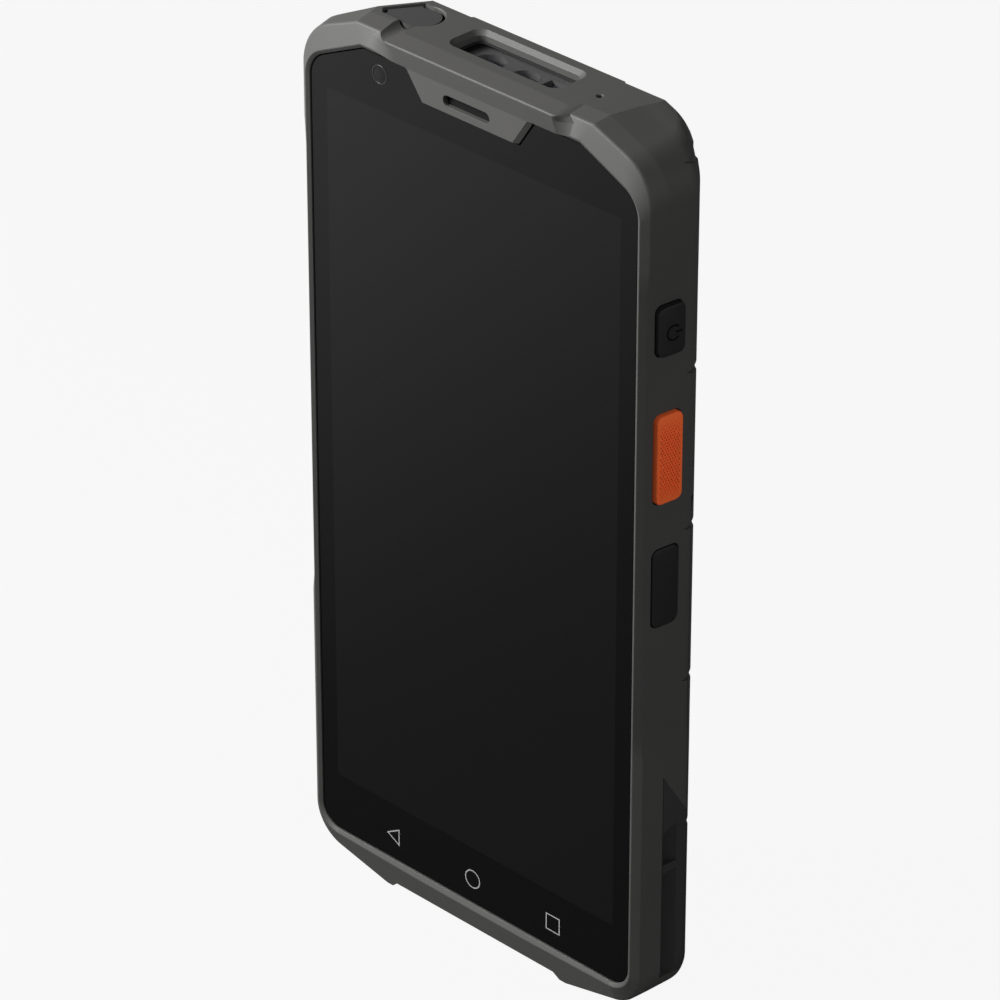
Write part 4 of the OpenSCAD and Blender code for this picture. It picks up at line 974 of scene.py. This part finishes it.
def power_symbol(lift_low, lift_high, finish=None):
    """Open ring with a bar in its gap, standing between two heights over the power key's face."""
    u, v, r, half = 0.1, -0.4, 1.2, 0.18
    ring = arc(u, v, r + half, 42, 318, 40) + arc(u, v, r - half, 318, 42, 40)
    bar = [(u + 0.35, v - half), (u + 1.65, v - half), (u + 1.65, v + half), (u + 0.35, v + half)]
    return [grid_object("power_symbol", [on_key("power_key", points, lift)
                                         for lift in (lift_low, lift_high)], finish)
            for points in (ring, bar)]


DOT_PITCH, DOT_R, DOT_OUT = 0.5, 0.17, 0.05


def key_dots(name):
    """Fine raised dots over a scan key's face."""
    h = KEYS[name][2]
    verts, faces = [], []
    rows, columns = round(h / 2 / DOT_PITCH), round(KEY_W / 2 / DOT_PITCH)
    for j in range(-rows, rows + 1):
        for i in range(-columns, columns + 1):
            u, v = (i + j % 2 / 2) * DOT_PITCH, j * DOT_PITCH
            if abs(u) > KEY_W / 2 - 0.65 or abs(v) > h / 2 - 0.9:
                continue
            first = len(verts)
            for r, lift in ((DOT_R, -0.02), (DOT_R * 0.6, DOT_OUT * 0.8)):
                verts += on_key(name, [(u + a, v + b) for a, b in arc(0, 0, r, 0, 300, 5)], lift)
            verts += on_key(name, [(u, v)], DOT_OUT)
            for k in range(6):
                low, high = first + k, first + (k + 1) % 6
                faces += [(low, high, high + 6, low + 6), (low + 6, high + 6, first + 12)]
            faces.append(tuple(first + k for k in range(5, -1, -1)))
    obj = mesh_object(name + "_dots", [at(*p) for p in verts], faces, ORANGE_KEY)
    return finished(smooth(obj, 50), name, "orange_key")


def side_key(name, finish):
    """Cap whose face slopes with the side of the body, with a stem and a flange behind it."""
    side, z, h, _ = KEYS[name]
    rings = []
    for depth, inset in ((None, 0.0), (KEY_EDGE, 0.0), (KEY_EDGE * 0.3, KEY_EDGE * 0.25),
                         (0.0, KEY_EDGE)):
        points = pad_points(KEY_W - 2 * inset, h - 2 * inset, 1.1 - inset * 0.6, 10)
        if depth is None:
            rings.append([(side * (POCKET_X + 0.35), KEY_Y + u, z + v) for u, v in points])
        else:
            rings.append(on_key(name, points, -depth))
    obj = grid_object(name + "_cap", rings, finish)
    if name == "power_key":
        cut(obj, *power_symbol(-0.14, 0.4))
        for part in power_symbol(-0.16, -0.08, INLAY):
            finished(part, name, "black_key")
    flange_x = CAVITY_HW - 0.8
    stem = pad_solid("stem", "x", (KEY_Y + 0.4, z), [
        (side * x, KEY_W - 2.2, h - 2.8, 0.8) for x in (flange_x + 0.3, POCKET_X + 0.5)])
    flange = pad_solid("flange", "x", (KEY_Y + 0.6, z), [
        (side * x, KEY_W - 1.1, h - 1.4, 0.8) for x in (flange_x, flange_x + 0.5)])
    for part in (stem, flange):
        boolean(obj, part, "UNION")
        drop(part)
    smooth(obj, 30)
    return finished(obj, name, "orange_key" if finish is ORANGE_KEY else "black_key", name)


for key in KEYS:
    is_scan = key.startswith("scan")
    side_key(key, ORANGE_KEY if is_scan else BLACK_KEY)
    if is_scan:
        key_dots(key)


# ---- jack cover ----
def jack_cover():
    """Plate with a round end, a tip that enters the jack and a pin along its slanted edge."""
    low, high = PLUG_TOP - PLUG_T, PLUG_TOP
    lip, rim_t, front = 0.4, 0.75, TOP_Y - PLUG_R
    outline = arc(PLUG_X, TOP_Y, PLUG_R, -110.4, 92, 48)
    outline += [by_pin(5.2, 0.25), by_pin(-0.2, 0.25), (PLUG_X - 5.0, front + 0.2)]
    obj = prism("jack_plug", "z", outline, low, high, RUBBER)
    rim = prism("rim", "z", [by_pin(5.3, -lip), by_pin(-0.15, -lip), by_pin(-0.15, 0.5),
                             by_pin(5.3, 0.5)], high - rim_t, high)
    boolean(obj, rim, "UNION")
    drop(rim)
    tip = round_solid("tip", "z", (PLUG_X, TOP_Y), [(low - 0.3, 1.4), (low + 0.1, 1.4)])
    across = Vector((math.sin(CUT_TURN), -math.cos(CUT_TURN), 0))
    rings = []
    for x, y in (by_pin(0.1, 0), by_pin(4.9, 0)):
        rings.append([tuple(Vector((x, y, PLUG_TOP - PIN_R)) + across * u + Vector((0, 0, v)))
                      for u, v in arc(0, 0, PIN_R, 0, 360, 32)[:-1]])
    for part in (tip, grid_object("pin", rings)):
        boolean(obj, part, "UNION")
        drop(part)
    bevelled(obj, 0.16)
    return finished(obj, "jack_cover", "rubber", "jack_cover")


jack_cover()

# ---- floor, light and camera ----
FLOOR_HALF = 4.0
FLOOR_GREY = 0.12                       # the floor's colour as a thing that is lit
FLOOR_WHITE = 0.92                      # share of plain white in what the camera sees of it


def shown_white(nodes, links):
    """1 for rays from the camera, straight or through glass, and 0 for those that light things."""
    rays = nodes.new("ShaderNodeLightPath")
    either = nodes.new("ShaderNodeMath")
    either.operation = "MAXIMUM"
    links.new(rays.outputs["Is Camera Ray"], either.inputs[0])
    links.new(rays.outputs["Is Transmission Ray"], either.inputs[1])
    return either.outputs[0]


SHEEN_NEAR, SHEEN_FAR = -0.06, -0.26    # the floor brightens from here to here along x
SHEEN = 0.95                            # strength of its bright end in reflections
SHEEN_CURVE = 1.4                       # above 1 the glow stays near its bright end


def floor_sheen(nodes, links):
    """Glow that only reflections show: dark beside the terminal and bright far to its left."""
    rays = nodes.new("ShaderNodeLightPath")
    place = nodes.new("ShaderNodeTexCoord")
    split = nodes.new("ShaderNodeSeparateXYZ")
    links.new(place.outputs["Object"], split.inputs["Vector"])
    ramp = nodes.new("ShaderNodeMapRange")
    ramp.inputs["From Min"].default_value = SHEEN_NEAR
    ramp.inputs["From Max"].default_value = SHEEN_FAR
    links.new(split.outputs["X"], ramp.inputs["Value"])
    curve = nodes.new("ShaderNodeMath")
    curve.operation = "POWER"
    curve.inputs[1].default_value = SHEEN_CURVE
    links.new(ramp.outputs["Result"], curve.inputs[0])
    share = nodes.new("ShaderNodeMath")
    share.operation = "MULTIPLY"
    links.new(curve.outputs[0], share.inputs[0])
    links.new(rays.outputs["Is Glossy Ray"], share.inputs[1])
    level = nodes.new("ShaderNodeMath")
    level.operation = "MULTIPLY"
    level.inputs[1].default_value = SHEEN
    links.new(share.outputs[0], level.inputs[0])
    glow = nodes.new("ShaderNodeEmission")
    links.new(level.outputs[0], glow.inputs["Strength"])
    return glow


def floor():
    """Floor that is white to the camera, and grey with a glow at its left to the terminal."""
    s = FLOOR_HALF
    mesh = bpy.data.meshes.new("floor")
    mesh.from_pydata([(-s, -s, 0), (s, -s, 0), (s, s, 0), (-s, s, 0)], [], [(0, 1, 2, 3)])
    obj = bpy.data.objects.new("floor", mesh)
    bpy.context.scene.collection.objects.link(obj)
    mat = bpy.data.materials.new("floor")
    mat.use_nodes = True
    nodes, links = mat.node_tree.nodes, mat.node_tree.links
    shader = nodes["Principled BSDF"]
    shader.inputs["Base Color"].default_value = (FLOOR_GREY, FLOOR_GREY, FLOOR_GREY, 1)
    shader.inputs["Roughness"].default_value = 0.9
    shader.inputs["Specular IOR Level"].default_value = 0.0
    glow = nodes.new("ShaderNodeEmission")
    glow.inputs["Strength"].default_value = 1.0
    share = nodes.new("ShaderNodeMath")
    share.operation = "MULTIPLY"
    share.inputs[1].default_value = FLOOR_WHITE
    links.new(shown_white(nodes, links), share.inputs[0])
    lit = nodes.new("ShaderNodeAddShader")
    links.new(shader.outputs[0], lit.inputs[0])
    links.new(floor_sheen(nodes, links).outputs[0], lit.inputs[1])
    mix = nodes.new("ShaderNodeMixShader")
    links.new(share.outputs[0], mix.inputs[0])
    links.new(lit.outputs[0], mix.inputs[1])
    links.new(glow.outputs[0], mix.inputs[2])
    links.new(mix.outputs[0], nodes["Material Output"].inputs["Surface"])
    mesh.materials.append(mat)


AMBIENT = 0.11                          # even light from all sides
LOOK = at(0, 0, 0)                      # what the lamps are turned to


def world():
    """White behind the terminal, and a faint even light on it."""
    made = bpy.data.worlds.new("studio")
    made.use_nodes = True
    nodes, links = made.node_tree.nodes, made.node_tree.links
    back = nodes["Background"]
    mix = nodes.new("ShaderNodeMix")
    mix.data_type = "RGBA"
    mix.inputs[6].default_value = (AMBIENT, AMBIENT, AMBIENT, 1)
    mix.inputs[7].default_value = (1, 1, 1, 1)
    links.new(shown_white(nodes, links), mix.inputs[0])
    links.new(mix.outputs[2], back.inputs["Color"])
    bpy.context.scene.world = made


def area_light(name, place, size, power):
    """Square lamp at a place in the row frame."""
    data = bpy.data.lights.new(name, "AREA")
    data.energy = power
    data.size = size
    lamp = bpy.data.objects.new(name, data)
    lamp.location = place
    lamp.rotation_euler = (LOOK - Vector(place)).to_track_quat("-Z", "Y").to_euler()
    lamp.visible_camera = False
    bpy.context.scene.collection.objects.link(lamp)


def camera():
    """Camera fitted to the four corners of the display in the photograph."""
    distance, azimuth, elevation = 0.8808, 44.93, 30.04
    focal = 5.7124                      # in picture widths
    aim = at(6.24, 0, 4.67)
    a, e = math.radians(azimuth), math.radians(elevation)
    back = Vector((math.sin(a) * math.cos(e), -math.cos(a) * math.cos(e), math.sin(e)))
    data = bpy.data.cameras.new("camera")
    data.sensor_width = 36.0
    data.lens = focal * data.sensor_width
    seen = bpy.data.objects.new("camera", data)
    seen.location = aim + back * distance
    seen.rotation_euler = (-back).to_track_quat("-Z", "Y").to_euler()
    bpy.context.scene.collection.objects.link(seen)
    bpy.context.scene.camera = seen


floor()
world()
area_light("key", (-0.27, -0.31, 0.38), 0.22, 6.4)
area_light("fill", (0.95, -0.05, 0.45), 0.5, 3.2)
camera()
bpy.context.scene.view_settings.view_transform = "Standard"
